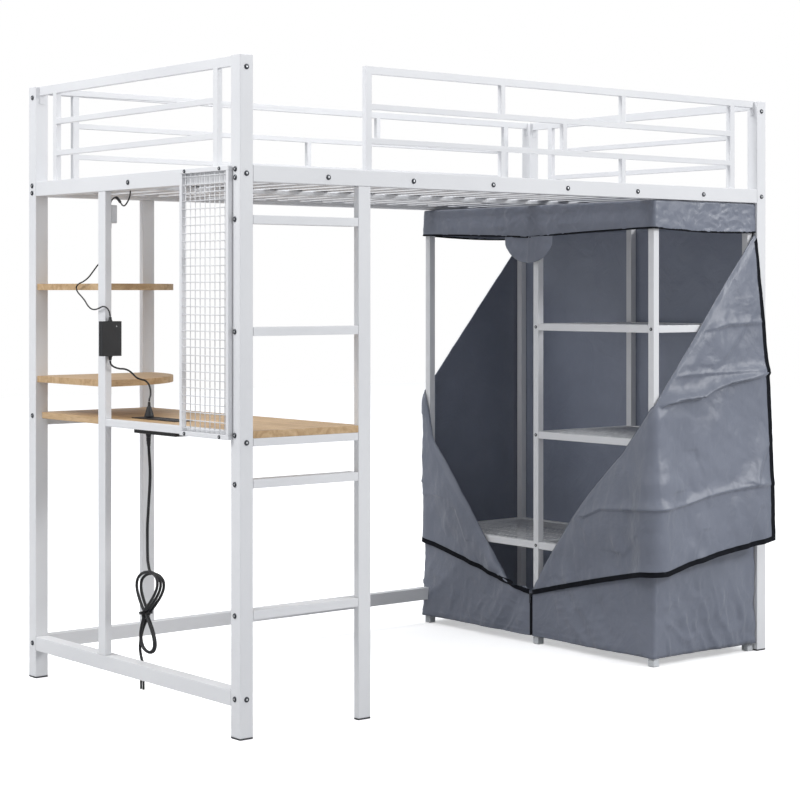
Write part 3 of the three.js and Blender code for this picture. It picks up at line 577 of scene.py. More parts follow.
def dress_frame():
    for name in nodes:
        if name.startswith(TUBES):
            dress(name, WHITE, 2.2)
        elif name.startswith(WELDED):
            dress(name, WHITE, 1.1)
        elif name.startswith("foot_cap"):
            dress(name, FOOT, 1.2)
    dress("desk_board", OAK_ALONG_Y, 0.9, 2)
    dress("corner_shelf_1", OAK_ALONG_X, 0.9, 2)
    dress("corner_shelf_2", OAK_ALONG_X, 0.9, 2)
    dress("mains_plug", BLACK, 1.2)
    dress("lamp_plug", BLACK, 0.5, 2)
    dress("zip_slider", ZINC, 0.8)
    dress("zip_pull", ZINC, 0.5)
    dress("light_strip", GREY, 0.4)


dress_frame()

# ---- Screws ----

SCREW = [(7.0, 0), (6.9, 1.4), (6.0, 2.6), (4.4, 3.3), (3.0, 3.3), (2.8, 1.2), (0, 1.0)]
SCREW_SOCKET = [(2.75, 1.0), (2.75, 2.3), (2.2, 2.6), (0, 2.2)]
SMALL = 0.72
TOWARDS = {
    "-x": Vector((-1, 0, 0)),
    "+x": Vector((1, 0, 0)),
    "-y": Vector((0, -1, 0)),
    "+y": Vector((0, 1, 0)),
}


def screws(name, places, scale=1.0):
    """Screw heads, each a place in bed millimetres and the way that it faces, and their bright sockets."""
    for suffix, profile, material in (("", SCREW, ZINC), ("_sockets", SCREW_SOCKET, BRIGHT)):
        pile = Pile()
        for place, way in places:
            pile.turned(bed(*place), TOWARDS[way], [(scale * r, scale * h) for r, h in profile], sides=20)
        smooth_by_angle(pile.done(name + suffix, material), 40)


def make_screws():
    side, end = HALF_WIDTH, HALF_LENGTH
    post_middle = end - 20
    rail_z = 1407

    def both_sides(x, z):
        return [((x, -side, z), "-y"), ((x, side, z), "+y")]

    rails = []
    for x in (-715, -431, -147, 137, 421, 705):
        rails += both_sides(x, rail_z)
    posts = [((-596, side, 738), "+y")]
    for x in (-post_middle, post_middle):
        for z in (1673, 1408):
            posts += both_sides(x, z)
    for z in (738, 100):
        posts += both_sides(-post_middle, z)
    for x, way in ((-end, "-x"), (end, "+x")):
        posts += [((x, y, z), way) for y in (-side + 20, side - 20) for z in (1419, 1398)]
        posts.append(((x, -9, rail_z), way))
    posts += [((-end, -side + 22, z), "-x") for z in (1294, 1014, 756, 634, 307, 100)]
    posts += [((-end, side - 22, z), "-x") for z in (1673, 756, 100)]
    posts += [((end, y, z), "+x") for y in (-side + 22, side - 22) for z in (1673, 100)]
    screws("screws_front_and_back", rails)
    screws("screws_posts", posts)

    leg_x, near, _ = node_box("wardrobe_frame")[0]
    legs = [((leg_x, y, z), "-x") for y in (-10, near + 11) for z in (1002, 661, 312)]
    legs.append(((leg_x, 521, 312), "-x"))
    screws("screws_wardrobe", legs, SMALL)
    grid_x = node_box("wall_grid")[0][0]
    screws("screws_wall_grid", [((grid_x, y, z), "-x") for y in (-465, -306) for z in (1422, 750)], SMALL)


make_screws()

# ---- Wall grid ----

GRID_PITCH = 20.5
GRID_WIRE = 1.3  # radius
GRID_RIM = 12
GRID_BACK = 13.6  # from the rim's face to the bed's end


def make_wall_grid():
    (x0, y0, z0), (_, y1, z1) = node_box("wall_grid")
    rim_x = x0 + GRID_RIM
    inner_z0, inner_z1 = z0 + GRID_RIM + 0.1, z1 - GRID_RIM - 0.1
    rim = Pile()
    for z in (z0, z1 - GRID_RIM):
        rim.box((x0, y0, z), (rim_x, y1, z + GRID_RIM))
    for y in (y0, y1 - GRID_RIM):
        rim.box((x0, y, inner_z0), (rim_x, y + GRID_RIM, inner_z1))
    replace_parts(rim.rounded("wall_grid_frame", WHITE, "white_steel", 1.4), "wall_grid")

    wires = Pile()
    columns = int((y1 - y0) / GRID_PITCH)
    for i in range(1, columns):
        y = y0 + (y1 - y0) * i / columns
        wires.rod((x0 + 5.4, y, z0 + 3), (x0 + 5.4, y, z1 - 3), GRID_WIRE)
    rows = int((z1 - z0) / GRID_PITCH)
    for i in range(1, rows):
        z = z0 + (z1 - z0) * i / rows
        wires.rod((x0 + 3.2, y0 + 3, z), (x0 + 3.2, y1 - 3, z), GRID_WIRE)
    wires.done("wall_grid_wires", WHITE)

    tabs = Pile()
    for y in (y0 + 22, y1 - 44):
        for z in (z0 + 1, z1 - 16):
            tabs.box((rim_x + 0.1, y, z), (x0 + GRID_BACK, y + 22, z + 15))
    tabs.rounded("wall_grid_tabs", WHITE, "white_steel", 0.8)


make_wall_grid()

# ---- Wardrobe shelves and feet ----

SHELF_MESH_PITCH = 19
SHELF_CROSS_PITCH = 60
SHELF_WIRE = 1.15  # radius


def make_shelf(name, bays):
    """Square-tube rim with a fine welded mesh let into it; bays are the y ranges between the legs."""
    (x0, y0, z0), (x1, y1, z1) = node_box(name)
    tube = z1 - z0
    rim = Pile()
    legs = [y0] + [y for _, y in bays[:-1]] + [y1 - tube]
    for y in legs:
        rim.box((x0 + tube + 0.3, y, z0), (x1 - tube - 0.3, y + tube, z1))
    for a, b in bays:
        for x in (x0, x1 - tube):
            rim.box((x, a + 0.3, z0), (x + tube, b - 0.3, z1))
    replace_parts(rim.rounded(name + "_rim", WHITE, "white_steel", 1.6), name)

    mesh = Pile()
    for a, b in bays:
        count = int((b - a) / SHELF_MESH_PITCH)
        for i in range(1, count):
            y = a + (b - a) * i / count
            mesh.rod((x0 + tube - 2, y, z1 - 3.2), (x1 - tube + 2, y, z1 - 3.2), SHELF_WIRE, 6)
        across = int((x1 - x0 - 2 * tube) / SHELF_CROSS_PITCH)
        for i in range(1, across):
            x = x0 + tube + (x1 - x0 - 2 * tube) * i / across
            mesh.rod((x, a - 2, z1 - 5.6), (x, b + 2, z1 - 5.6), SHELF_WIRE, 6)
    mesh.done(name + "_mesh", WIRE)


def make_wardrobe_fittings():
    near_bay = (-498, -21)
    far_bay = (1, 510)
    make_shelf("wardrobe_shelf_low", [near_bay, far_bay])
    make_shelf("wardrobe_shelf_mid", [near_bay])
    make_shelf("wardrobe_shelf_high", [near_bay])
    (x0, y0, _), (x1, y1, _) = node_box("wardrobe_frame")
    feet, pads = Pile(), Pile()
    for x in (x0 + 11, x1 - 11):
        for y in (y0 + 11, -10, y1 - 11):
            feet.box((x - 12.6, y - 12.6, 0), (x + 12.6, y + 12.6, 21))
            pads.box((x - 11.4, y - 11.4, -0.01), (x + 11.4, y + 11.4, 2.6))
    feet.rounded("wardrobe_foot_caps", FOOT_LIGHT, "grey_plastic", 2.4)
    pads.rounded("wardrobe_foot_pads", FOOT, "foot_plastic", 0.7)


make_wardrobe_fittings()

# ---- Wardrobe cover ----

(COVER_FRONT, COVER_NEAR, _), (COVER_BACK, COVER_FAR, COVER_TOP) = node_box("cover_top")
COVER_MIDDLE_Y = (COVER_NEAR + COVER_FAR) / 2
HALF_SPAN = (COVER_FAR - COVER_NEAR) / 2
CORNER = 10.0  # radius of the cover's upright corners
HEM, VALANCE_EDGE = [corner[2] for corner in node_box("cover_back")]
ZIP_OPEN = node_box("zip_slider")[1][2]
TIP_REACH = -node_box("cover_flap_near")[0][1]
FULL_ROUND = HALF_SPAN + COVER_BACK - COVER_FRONT
FOLD_START = 3.0
FOLD_END = FULL_ROUND - 6
CLOTH_THICK = 1.1
ZIP_TAPE = 14.0


def around_cover(s, out, z, side):
    """A point s round the cover from the middle of its front, out from its face, at height z."""
    straight = HALF_SPAN - CORNER
    arc = CORNER * math.pi / 2
    if s <= straight:
        return (COVER_FRONT - out, COVER_MIDDLE_Y + side * s, z)
    if s >= straight + arc:
        return (COVER_FRONT + CORNER + s - straight - arc, COVER_MIDDLE_Y + side * (HALF_SPAN + out), z)
    angle = (s - straight) / CORNER
    radius = CORNER + out
    return (COVER_FRONT + CORNER - radius * math.cos(angle),
            COVER_MIDDLE_Y + side * (straight + radius * math.sin(angle)), z)


def smooth_step(value, start, end):
    t = max(0.0, min(1.0, (value - start) / (end - start)))
    return t * t * (3 - 2 * t)


def fold_height(s, side):
    """Height of a door's fold: it bows up beside the zip (near door) or hangs low to the corner (far)."""
    straight = ZIP_OPEN + (VALANCE_EDGE - 8 - ZIP_OPEN) * s / FOLD_END
    if side < 0:
        return straight + 36 * math.sin(math.pi * min(1.0, s / 400))
    corner = HALF_SPAN - 60
    return straight - 95 * smooth_step(s, 0, 110) * (1 - smooth_step(s, corner, corner + 55))


def rumple(x, y, z, scale, octaves=3):
    """Smooth noise between about -1 and 1, for a point in millimetres."""
    value, size, weight = 0.0, scale, 1.0
    for _ in range(octaves):
        value += weight * noise.noise(Vector((x / size, y / size, z / size)))
        size *= 0.5
        weight *= 0.5
    return value


def crease(s, z, line, height, width):
    """A ridge along a polyline of (s, z) points that fades at its ends, soft above it and steep below."""
    best = None
    for (s0, z0), (s1, z1) in zip(line, line[1:]):
        ds, dz = s1 - s0, z1 - z0
        t = max(0.0, min(1.0, ((s - s0) * ds + (z - z0) * dz) / (ds * ds + dz * dz)))
        off_s, off_z = s - s0 - t * ds, z - z0 - t * dz
        away = math.hypot(off_s, off_z)
        if best is None or away < best[0]:
            best = (away, off_z)
    away, above = best
    if above > 0:
        return height * math.exp(-(away / (width * 2.6)) ** 1.3)
    return height * math.exp(-(away / (width * 0.55)) ** 2)


def cloth_piece(name, rows, material=CLOTH):
    """A sheet of cloth from a grid of points in bed millimetres, given a real thickness."""
    across = len(rows[0])
    vertices = [bed(*spot) for row in rows for spot in row]
    faces = []
    for i in range(len(rows) - 1):
        for j in range(across - 1):
            low, high = i * across + j, (i + 1) * across + j
            faces.append((low, high, high + 1, low + 1))
    made = piece(name, vertices, faces, material)
    thick = made.modifiers.new("cloth", "SOLIDIFY")
    thick.thickness = CLOTH_THICK * MM
    thick.offset = 0
    return made


def ribbon(name, route, inwards, outwards, width, thick):
    """A flat tape along a route, reaching from its edge towards the given side, with a rounded bead."""
    section = [(-1.6, 0.0), (-1.1, 1.0), (0.4, 1.25), (2.0, 0.75), (width * 0.55, 0.62), (width, 0.5),
               (width, -0.5), (width * 0.55, -0.62), (2.0, -0.75), (0.4, -1.25), (-1.1, -1.0)]
    vertices, faces = [], []
    count = len(section)
    for i, (spot, into, out) in enumerate(zip(route, inwards, outwards)):
        for along, up in section:
            vertices.append(bed(*(spot + into * along + out * (up * thick))))
        if i:
            low, high = (i - 1) * count, i * count
            for j in range(count):
                k = (j + 1) % count
                faces.append((low + j, high + j, high + k, low + k))
    faces.append(tuple(range(count)))
    faces.append(tuple(reversed(range(len(vertices) - count, len(vertices)))))
    return smooth_by_angle(piece(name, vertices, faces, TAPE), 50)


def crinkle(s, z, side, size):
    """Sharp-edged wrinkles of handled cloth: ridges where two smooth noises cross zero."""
    first = rumple(s * 1.1 + z * 0.5, 21 * side, z * 0.8, size, 2)
    second = rumple(s * 0.7 - z * 0.6, 33 * side, z, size * 0.7, 2)
    return 1 - min(1.0, 3.4 * abs(first)) + 0.6 * (1 - min(1.0, 3.4 * abs(second)))


def standing_swell(s, z, side):
    """How far the standing cloth leans out of its plane: broad waves, and wrinkles low at the corner."""
    broad = 4.0 * rumple(s, 300 * side, z, 230, 2)
    fine = 1.5 * rumple(s * 1.3, 90 * side, z, 60, 3)
    low = 1.0 / (1.0 + math.exp((z - 235) / 28))
    diagonal = 7.0 * low * rumple(s * 0.9 + z * 0.6, side * 40, z * 0.25, 90, 2)
    past_corner = smooth_step(s, HALF_SPAN - 10, HALF_SPAN + 60)
    wrinkles = low * (2.0 + 3.6 * past_corner) * crinkle(s, z, side, 80)
    corner = math.exp(-((s - HALF_SPAN) / 16) ** 2)
    pucker = 5.0 * low * corner * rumple(s * 2, 5, z * 2.2, 26, 2)
    seam = 1.8 * math.exp(-((s - HALF_SPAN - 2) / 3.0) ** 2)
    top_seam = 1.4 * low * math.exp(-((z - HEM - 14) / 5.0) ** 2)
    beside_zip = smooth_step(s, 8, 55)
    folds = beside_zip * (broad + fine + diagonal + wrinkles + pucker)
    return max(-1.2, folds + seam + top_seam * beside_zip + 0.6)


CREASES_NEAR = [
    ([(548, 776), (600, 790), (711, 797), (760, 820), (814, 836), (913, 848), (1004, 863)], 26.0, 8.0),
    ([(440, 462), (526, 471), (630, 478), (727, 499), (825, 511), (913, 520), (1000, 521)], 11.0, 6.0),
    ([(250, 424), (330, 456), (440, 462)], 7.0, 6.0),
    ([(721, 994), (836, 1013), (970, 1017)], 9.0, 6.0),
    ([(600, 858), (748, 866), (1004, 872)], 6.0, 4.0),
    ([(913, 529), (968, 631), (1019, 681)], 8.0, 12.0),
    ([(770, 890), (847, 948), (947, 1050)], 5.0, 22.0),
    ([(690, 640), (720, 560), (735, 470)], 4.0, 20.0),
    ([(420, 330), (520, 420), (570, 520)], 4.5, 22.0),
    ([(860, 300), (880, 380), (915, 455)], 6.0, 20.0),
    ([(640, 250), (655, 330), (690, 400)], 4.5, 18.0),
]
CREASES_FAR = [
    ([(560, 700), (760, 720), (980, 790)], 8.0, 9.0),
    ([(300, 300), (330, 370), (345, 400)], 3.0, 10.0),
    ([(420, 430), (470, 438), (520, 430)], 2.4, 7.0),
    ([(540, 470), (760, 490), (990, 505)], 6.0, 7.0),
]


FLAP_RISE = 194  # how much higher the flap's free edge hangs at its end than at the zip
ROLL_DEPTH = 34  # how far below the fold the turned-over cloth stands out most


def flap_folds(a, b, s, z, side):
    """How far a flap's own folds, lumps and creases stand out, before they fade at its edges."""
    lines = CREASES_NEAR if side < 0 else CREASES_FAR
    ridges = sum(crease(s, z, line, height, width) for line, height, width in lines) if b > 0.01 else 0
    flute_depth = 8.0 * b ** 3 * a * (0.6 + rumple(s, side * 20, 0, 95, 2))
    flutes = flute_depth * math.sin(s / 23 + 2.4 * math.sin(s / 90))
    body = 9 * math.sin(math.pi * min(1, b * 1.2)) * math.sin(math.pi * min(1, 1.35 * a)) ** 2
    lumps = 5.0 * rumple(s, 7 * side, z, 170, 3) + 2.0 * rumple(s * 1.4, 3 * side, z * 0.45, 46, 2)
    drags = 3.4 * rumple((s - z) * 0.25, 9 * side, (s + z) * 0.9, 80, 2) * math.sin(math.pi * b)
    drags += 1.1 * crinkle(s, z * 0.8, side, 240)
    if side > 0:
        tuck = 1 - 0.85 * smooth_step(s, HALF_SPAN - 110, HALF_SPAN - 20)
        body, lumps = body * 0.7 * tuck, lumps * tuck
    return ridges + max(-2.0, flutes) + body + lumps + drags + 1.6


def flap_point(a, b, side):
    """A point of the folded-down part: a runs along the fold, b from the fold to the free edge."""
    near = side < 0
    top_s = FOLD_START + (FOLD_END - FOLD_START) * a
    low_s = FOLD_START + (FULL_ROUND + 4 - FOLD_START) * a
    s = top_s + (low_s - top_s) * b + 18 * a ** 6 * math.sin(math.pi * b)
    top_z = fold_height(top_s, side)
    low_z = ZIP_OPEN - 4 + FLAP_RISE * a + 14 * math.sin(math.pi * a)
    z = top_z + (low_z - top_z) * b
    tip_out = TIP_REACH - 11 - HALF_SPAN - side * COVER_MIDDLE_Y
    hang = tip_out * a ** (2.2 if near else 5.0) * b ** 0.9
    depth = (top_z - z) / ROLL_DEPTH
    roll_height = 2.0 if near else 4.5 * (1 - smooth_step(a, 0.86, 1.0))
    roll = roll_height * depth * math.exp(1 - depth)
    bridge = 20 * math.exp(-((s - HALF_SPAN) / 60) ** 2) * min(1.0, 2.2 * b) if near else 0
    edge_fade = smooth_step(b, 0, 0.1) * (1 - 0.75 * smooth_step(a, 0.93, 1.0))
    loose = max(0.0, flap_folds(a, b, s, z, side) * edge_fade + bridge)
    clear_of_pull = smooth_step(s, 7, 26)
    fold_lift = (1.4 + 2.0 * clear_of_pull) * min(1.0, b * 40)
    out = standing_swell(s, z, side) + fold_lift + hang + clear_of_pull * (loose + roll)
    return Vector(around_cover(s, out, z, side))


def make_door(side, name, cad_panel, cad_flap):
    """One door: it stands from the hem to a diagonal fold, then turns over and hangs outside."""
    along, up, down = 240, 84, 160
    rows = []
    for i in range(along + 1):
        a = i / along
        s = FOLD_START + (FOLD_END - FOLD_START) * a
        top = fold_height(s, side)
        row = []
        for j in range(up):
            z = HEM + (top - 2.5 - HEM) * j / (up - 1)
            row.append(Vector(around_cover(s, standing_swell(s, z, side), z, side)))
        swell = standing_swell(s, top, side)
        row.append(Vector(around_cover(s, swell + 0.5, top + 0.1, side)))
        row.append(Vector(around_cover(s, swell + 1.8, top + 0.8, side)))
        for j in range(down + 1):
            row.append(flap_point(a, j / down, side))
        rows.append(row)
    made = cloth_piece(name, rows)
    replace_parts(made, cad_panel, cad_flap)
    tapes = make_door_tapes(side, name) + [make_zip_edge(side, name)]


def outward(spot, side):
    """The way out of the cover at a point in bed millimetres."""
    if side * (spot.y - COVER_MIDDLE_Y) < HALF_SPAN - 2:
        return Vector((-1, 0, 0))
    if spot.x > COVER_FRONT + CORNER:
        return Vector((0, side, 0))
    return Vector((-1, side, 0)).normalized()


def flap_ribbon(side, name, samples, step):
    """A zip tape that follows samples (a, b) of a flap; step leads from its edge into the cloth."""
    route, inwards, outwards = [], [], []
    for a, b in samples:
        spot = flap_point(a, b, side)
        into = (flap_point(a + step[0], b + step[1], side) - spot).normalized()
        away = outward(spot, side)
        out = (away - into * away.dot(into)).normalized()
        route.append(spot + out * 0.7)
        inwards.append(into)
        outwards.append(out)
    return ribbon(name, route, inwards, outwards, ZIP_TAPE, 1.7)


def make_door_tapes(side, name):
    """The black zip tape along the door's free edges: across the bottom of the flap and up its end."""
    bottom = [(0.004 + 0.996 * i / 260, 1.0) for i in range(261)]
    end = [(1.0, 1 - i / 200) for i in range(198)]
    return [flap_ribbon(side, name + "_zip_tape", bottom, (0, -0.035)),
            flap_ribbon(side, name + "_end_tape", end, (-0.03, 0))]


def make_zip_edge(side, name):
    """The closed lower part of the centre zip: this door's half of the tape."""
    heights = [HEM + 2 + (ZIP_OPEN - 6 - HEM) * i / 20 for i in range(21)]
    route = [Vector(around_cover(1.2, 1.6, z, side)) for z in heights]
    into = [Vector((0, side, 0))] * len(route)
    out = [Vector((-1, 0, 0))] * len(route)
    return ribbon(name + "_closed_zip", route, into, out, 4.6, 1.0)


def valance_edge(s):
    """Height of the valance's lower edge: it sags towards the middle of the front."""
    if s <= HALF_SPAN:
        return VALANCE_EDGE + 2 - 17 * (1 - s / HALF_SPAN) ** 1.3
    share = (s - HALF_SPAN) / (FULL_ROUND - HALF_SPAN)
    return VALANCE_EDGE + 2 - 9 * math.sin(math.pi * share * 0.8)


def round_stations():
    """Distances round the cover from the middle of the front to the back edge, about 4.5 mm apart."""
    count = int(FULL_ROUND / 4.5)
    return [FULL_ROUND * i / count for i in range(count + 1)]


def valance_swell(s, z, side):
    drop = (COVER_TOP - z) / (COVER_TOP - VALANCE_EDGE)
    wave = 3.6 * drop * rumple(s * side, 11, 0, 150, 2) + 2.4 * rumple(s * side, 5, z * 1.4, 48, 3)
    crumple = 3.2 * math.exp(-((s - 860) / 110) ** 2) * crinkle(s, z * 1.6, side, 50) if side < 0 else 0
    wave += 2.2 * math.exp(-((s - 90) / 150) ** 2) * crinkle(s, z * 1.5, side, 70)
    seam = 1.4 * math.exp(-((s - HALF_SPAN) / 3.0) ** 2) + 0.9 * math.exp(-((s - 708) / 2.6) ** 2)
    dent = -2.2 * math.exp(-((s - 60) / 30) ** 2 - ((z - 1345) / 26) ** 2)
    return max(0.3, 2.6 + wave + crumple + seam + dent + 2.2 * drop)


def make_valance():
    """The hanging edge round the front and both sides, rolled over onto the roof."""
    stations = [(s, -1) for s in reversed(round_stations())] + [(s, 1) for s in round_stations()[1:]]
    rows = []
    levels = 22
    for s, side in stations:
        low = valance_edge(s)
        row = []
        for j in range(levels):
            z = low + (COVER_TOP - 5 - low) * j / (levels - 1)
            row.append(Vector(around_cover(s, valance_swell(s, z, side), z, side)))
        rim = valance_swell(s, COVER_TOP, side)
        for inward, under in ((0.8, 2.0), (3.2, 0.6), (9.0, 0.4)):
            row.append(Vector(around_cover(s, rim - inward, COVER_TOP - under, side)))
        rows.append(row)
    valance = cloth_piece("cover_valance", rows)
    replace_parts(valance, "cover_top")
    edge_route = [Vector(around_cover(s, valance_swell(s, valance_edge(s), side), valance_edge(s), side))
                  for s, side in stations]
    up = [Vector((0, 0, 1))] * len(stations)
    out = [(Vector(around_cover(s, 5, 0, side)) - Vector(around_cover(s, 0, 0, side))).normalized()
           for s, side in stations]
    binding = ribbon("valance_binding", edge_route, up, out, 4.2, 1.4)
    make_tab()


def make_roof():
    """The flat top of the cover, which sags a little between the frame's bars."""
    x0, x1 = COVER_FRONT + 1.5, COVER_BACK - 1.0
    y0, y1 = COVER_MIDDLE_Y - HALF_SPAN + 1.5, COVER_MIDDLE_Y + HALF_SPAN - 1.5
    rows = []
    for i in range(91):
        row = []
        for j in range(61):
            u, v = i / 90, j / 60
            x, y = x0 + (x1 - x0) * v, y0 + (y1 - y0) * u
            edge = min(1.0, 12 * min(u, 1 - u, v, 1 - v))
            sag = 3.0 * abs(math.sin(2 * math.pi * u)) * math.sin(math.pi * v) ** 0.5
            z = COVER_TOP - 1.2 + edge * (0.9 * rumple(x, y, 0, 110, 3) - sag * 0.8)
            row.append(Vector((x, y, min(z, COVER_TOP - 0.6))))
        rows.append(row)
    roof = cloth_piece("cover_roof", rows)


def make_tab():
    """The half-round tab sewn under the middle of the valance, in two quarter pieces."""
    radius, drop = 112, 82
    top = valance_edge(0) + 3
    rows = []
    for i in range(49):
        y = radius * (2 * i / 48 - 1)
        deep = drop * math.sqrt(max(0.0, 1 - (y / radius) ** 2))
        row = []
        for j in range(15):
            t = j / 14
            z = top - (deep + 2) * t
            seam = 1.5 * math.exp(-(y / 3.0) ** 2)
            wave = 2.6 * rumple(y, 3, z, 60, 3) * (0.4 + t) + 1.2 * crinkle(y, z, 1, 60)
            row.append(Vector((COVER_FRONT - 6.5 - seam - wave - 2.0 * t, COVER_MIDDLE_Y + 4 + y, z)))
        rows.append(row)
    return cloth_piece("cover_tab", rows)


BACK_SEAMS = (-290, -173, 60, 185, 300)


def make_cover_back():
    rows = []
    for i in range(121):
        y = COVER_MIDDLE_Y - HALF_SPAN + 3 + (2 * HALF_SPAN - 6) * i / 120
        row = []
        for j in range(100):
            z = HEM + (VALANCE_EDGE + 20 - HEM) * j / 99
            edge = min(1.0, (HALF_SPAN - abs(y - COVER_MIDDLE_Y)) / 60)
            seam = 1.7 * sum(math.exp(-((y - place) / 2.4) ** 2) for place in BACK_SEAMS)
            wave = (3.4 * rumple(0, y, z * 0.5, 240, 2) + 1.3 * rumple(0, y * 1.2, z * 0.6, 60, 2)) * edge
            row.append(Vector((COVER_BACK - 0.9 + max(-1.4, min(2.5, wave)) - seam * 0.5, y, z)))
        rows.append(row)
    # The back wall uses the copy of the cover cloth that is painted lighter: painted light.
    made = cloth_piece("cover_back_wall", rows, BACK_CLOTH_PAINTED_LIGHT)
    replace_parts(made, "cover_back")
    for side, name in ((-1, "near"), (1, "far")):
        y = COVER_MIDDLE_Y + side * (HALF_SPAN - 3)
        route = [Vector((COVER_BACK - 3.2, y, HEM + (VALANCE_EDGE - 2 - HEM) * i / 80)) for i in range(81)]
        into = [Vector((0, -side, 0))] * len(route)
        out = [Vector((-1, 0, 0))] * len(route)
        ribbon(f"back_wall_zip_{name}", route, into, out, 11, 1.0)


make_door(-1, "cover_door_near", "cover_panel_near", "cover_flap_near")
make_door(1, "cover_door_far", "cover_panel_far", "cover_flap_far")
make_valance()
make_roof()
make_cover_back()

# ---- Light kit and power strip ----


def make_adapter():
    low, high = node_box("adapter")
    relief = 12
    z0, z1 = low[2] + relief, high[2] - relief
    middle_y = (low[1] + high[1]) / 2
    halves = Pile()
    halves.box((low[0], low[1], z0), (high[0], middle_y - 0.25, z1))
    halves.box((low[0], middle_y + 0.25, z0), (high[0], high[1], z1))
    halves.box((low[0] + 1.2, middle_y - 0.6, z0 + 1.2), (high[0] - 1.2, middle_y + 0.6, z1 - 1.2))
    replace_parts(halves.rounded("adapter_case", BLACK, "black_plastic", 2.6, 4), "adapter")
    ends = Pile()
    x = (low[0] + high[0]) / 2
    profile = [(6.4, -0.5), (6.4, 1.5), (5.2, 2.4), (5.0, 4.2), (4.5, 4.6), (4.5, 5.4), (4.7, 5.8),
               (4.5, 7.4), (4.0, 7.8), (4.0, 8.6), (4.1, 9.0), (3.6, 11.6), (2.6, 12.0), (0, 12.0)]
    ends.turned(bed(x, middle_y, z1), Vector((0, 0, 1)), profile)
    ends.turned(bed(x, middle_y, z0), Vector((0, 0, -1)), profile)
    smooth_by_angle(ends.done("adapter_strain_reliefs", BLACK), 50)
    lamp = Pile()
    dome = [(1.8, 0), (1.7, 0.7), (0, 0.9)]
    lamp.turned(bed(x + 14, low[1] + 0.2, z1 - 14), TOWARDS["-y"], dome, 12)
    lamp.done("adapter_lamp", GREY)


def make_controller():
    low, high = node_box("light_controller")
    case = Pile()
    case.box(low, high)
    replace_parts(case.rounded("light_controller_case", GREY, "grey_plastic", 2.8, 4), "light_controller")
    buttons = Pile()
    y = (low[1] + high[1]) / 2
    profile = [(4.0, 0), (3.9, 0.9), (3.2, 1.3), (0, 1.4)]
    for height in (14, 27, 40):
        buttons.turned(bed(high[0] - 0.1, y, low[2] + height), TOWARDS["+x"], profile, 20)
    smooth_by_angle(buttons.done("light_controller_buttons", BLACK), 45)


def make_light_strip():
    """Small light diodes along the strip's carrier."""
    low, high = node_box("light_strip")
    diodes = Pile()
    pitch = 33
    z = (low[2] + high[2]) / 2
    for i in range(int((high[1] - low[1]) / pitch)):
        y = low[1] + 16 + pitch * i
        diodes.box((high[0] - 0.1, y - 2.5, z - 2.5), (high[0] + 1.3, y + 2.5, z + 2.5))
    diodes.rounded("light_strip_diodes", FOOT_LIGHT, "grey_plastic", 0.5)


def make_power_strip():
    """Flanged strip let into the desk: two round sockets in wells and two charging ports."""
    (x0, y0, z0), (x1, y1, top) = node_box("power_strip")
    lip = top - 2.7
    x = (x0 + x1) / 2
    body = Pile()
    body.box((x0 + 5, y0 + 5, z0), (x1 - 5, y1 - 5, lip - 0.1))
    for y in (y0, y1 - 8):
        body.box((x0, y, lip), (x1, y + 8, top))
    for side_x in (x0, x1 - 8):
        body.box((side_x, y0 + 8.05, lip), (side_x + 8, y1 - 8.05, top))
    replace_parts(body.rounded("power_strip_case", BLACK, "black_plastic", 1.0), "power_strip")
    face = Pile()
    face.box((x0 + 8.1, y0 + 8.1, lip), (x1 - 8.1, y1 - 8.1, top - 0.9))
    face.rounded("power_strip_face", CORD, "black_plastic", 0.6)
    wells = Pile()
    rim = [(15.5, 0), (15.5, 0.8), (14.3, 0.8), (14.0, 0.1), (0, 0.1)]
    for y in (y0 + 50, y0 + 95):
        wells.turned(bed(x, y, top - 1.0), Vector((0, 0, 1)), rim, 28)
        for dx in (-6.4, 6.4):
            wells.box((x + dx - 1, y - 3.4, top - 0.9), (x + dx + 1, y + 3.4, top - 0.55))
    for dx in (-8, 8):
        wells.box((x + dx - 3.2, y0 + 17, top - 0.95), (x + dx + 3.2, y0 + 30, top - 0.4))
    smooth_by_angle(wells.done("power_strip_sockets", FOOT), 40)


make_adapter()
make_controller()
make_light_strip()
make_power_strip()

# ---- Floor, lights and world ----


FLOOR_REACH = 14.0
FLOOR_Z = -0.0006


def make_stage():
    mesh = bpy.data.meshes.new("floor")
    corners = [(-1, -1), (1, -1), (1, 1), (-1, 1)]
    mesh.from_pydata([(x * FLOOR_REACH, y * FLOOR_REACH, FLOOR_Z) for x, y in corners], [], [(0, 1, 2, 3)])
    floor = bpy.data.objects.new("floor", mesh)
    mesh.materials.append(floor_material())
    scene.collection.objects.link(floor)


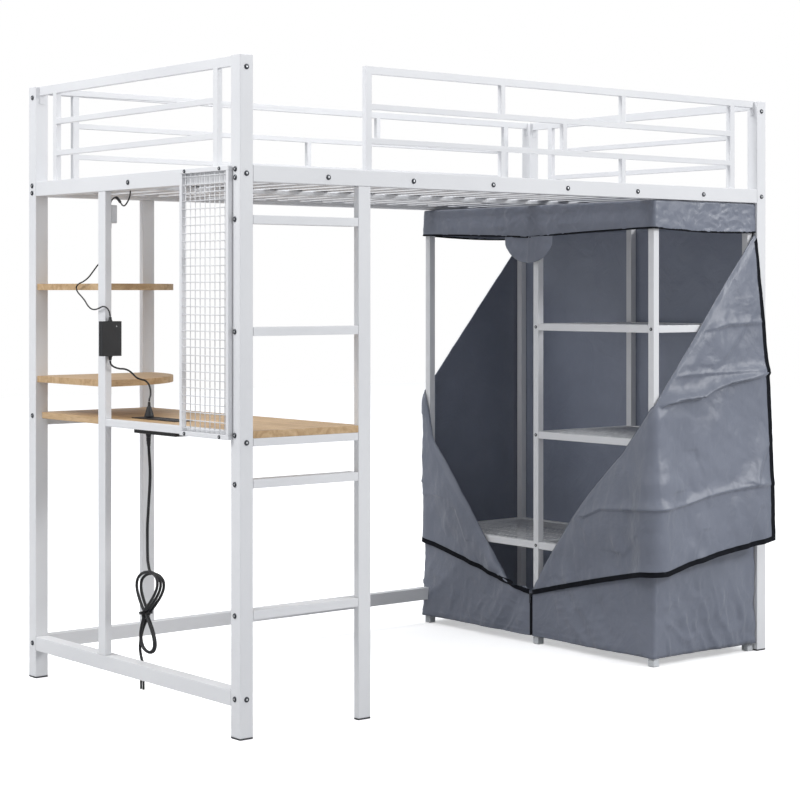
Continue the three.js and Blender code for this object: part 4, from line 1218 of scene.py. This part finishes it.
def floor_material():
    """White paper: it shows bright, with the contact shadows, and sends only part of its light back up."""
    shader = Shader("floor", (0.5, 0.5, 0.505), 0.9)
    shader.bsdf.inputs["Specular IOR Level"].default_value = 0.1
    seen = shader.node("ShaderNodeBsdfDiffuse", Color=(0.96, 0.96, 0.965, 1))
    glow = shader.node("ShaderNodeEmission", Color=(1, 1, 1, 1), Strength=0.42)
    bright = shader.node("ShaderNodeAddShader")
    shader.link(seen.outputs["BSDF"], bright.inputs[0])
    shader.link(glow.outputs["Emission"], bright.inputs[1])
    path = shader.node("ShaderNodeLightPath")
    mix = shader.node("ShaderNodeMixShader")
    shader.link(path.outputs["Is Camera Ray"], mix.inputs["Fac"])
    shader.link(shader.bsdf.outputs["BSDF"], mix.inputs[1])
    shader.link(bright.outputs["Shader"], mix.inputs[2])
    shader.link(mix.outputs["Shader"], shader.tree.nodes["Material Output"].inputs["Surface"])
    return shader.material


def area_light(name, place, target, size, power):
    data = bpy.data.lights.new(name, "AREA")
    data.shape = "RECTANGLE"
    data.size, data.size_y = size
    data.energy = power
    light = bpy.data.objects.new(name, data)
    light.location = place
    light.rotation_euler = (Vector(target) - Vector(place)).to_track_quat("-Z", "Y").to_euler()
    scene.collection.objects.link(light)


def make_lights():
    """A white studio: what shows behind the bed is white, and softer light comes from all round it."""
    world = bpy.data.worlds.new("studio")
    world.use_nodes = True
    tree = world.node_tree
    ambient = tree.nodes["Background"]
    ambient.inputs["Color"].default_value = (0.93, 0.96, 1, 1)
    ambient.inputs["Strength"].default_value = 0.5
    backdrop = tree.nodes.new("ShaderNodeBackground")
    backdrop.inputs["Color"].default_value = (1, 1, 1, 1)
    mix = tree.nodes.new("ShaderNodeMixShader")
    path = tree.nodes.new("ShaderNodeLightPath")
    tree.links.new(path.outputs["Is Camera Ray"], mix.inputs["Fac"])
    tree.links.new(ambient.outputs["Background"], mix.inputs[1])
    tree.links.new(backdrop.outputs["Background"], mix.inputs[2])
    tree.links.new(mix.outputs["Shader"], tree.nodes["World Output"].inputs["Surface"])
    scene.world = world
    middle = (0, 0, 0.9)
    area_light("ceiling", (0, 0, 6.5), (0, 0, 0), (26.0, 26.0), 980)
    area_light("overhead", (0.2, 0.3, 5.2), (0, 0, 0), (3.0, 2.4), 60)
    area_light("key", (3.0, -4.6, 3.2), middle, (1.3, 1.0), 118)
    area_light("left", (-4.4, 0.4, 4.6), middle, (1.6, 1.6), 140)
    scene.view_settings.view_transform = "Standard"


make_stage()
make_lights()
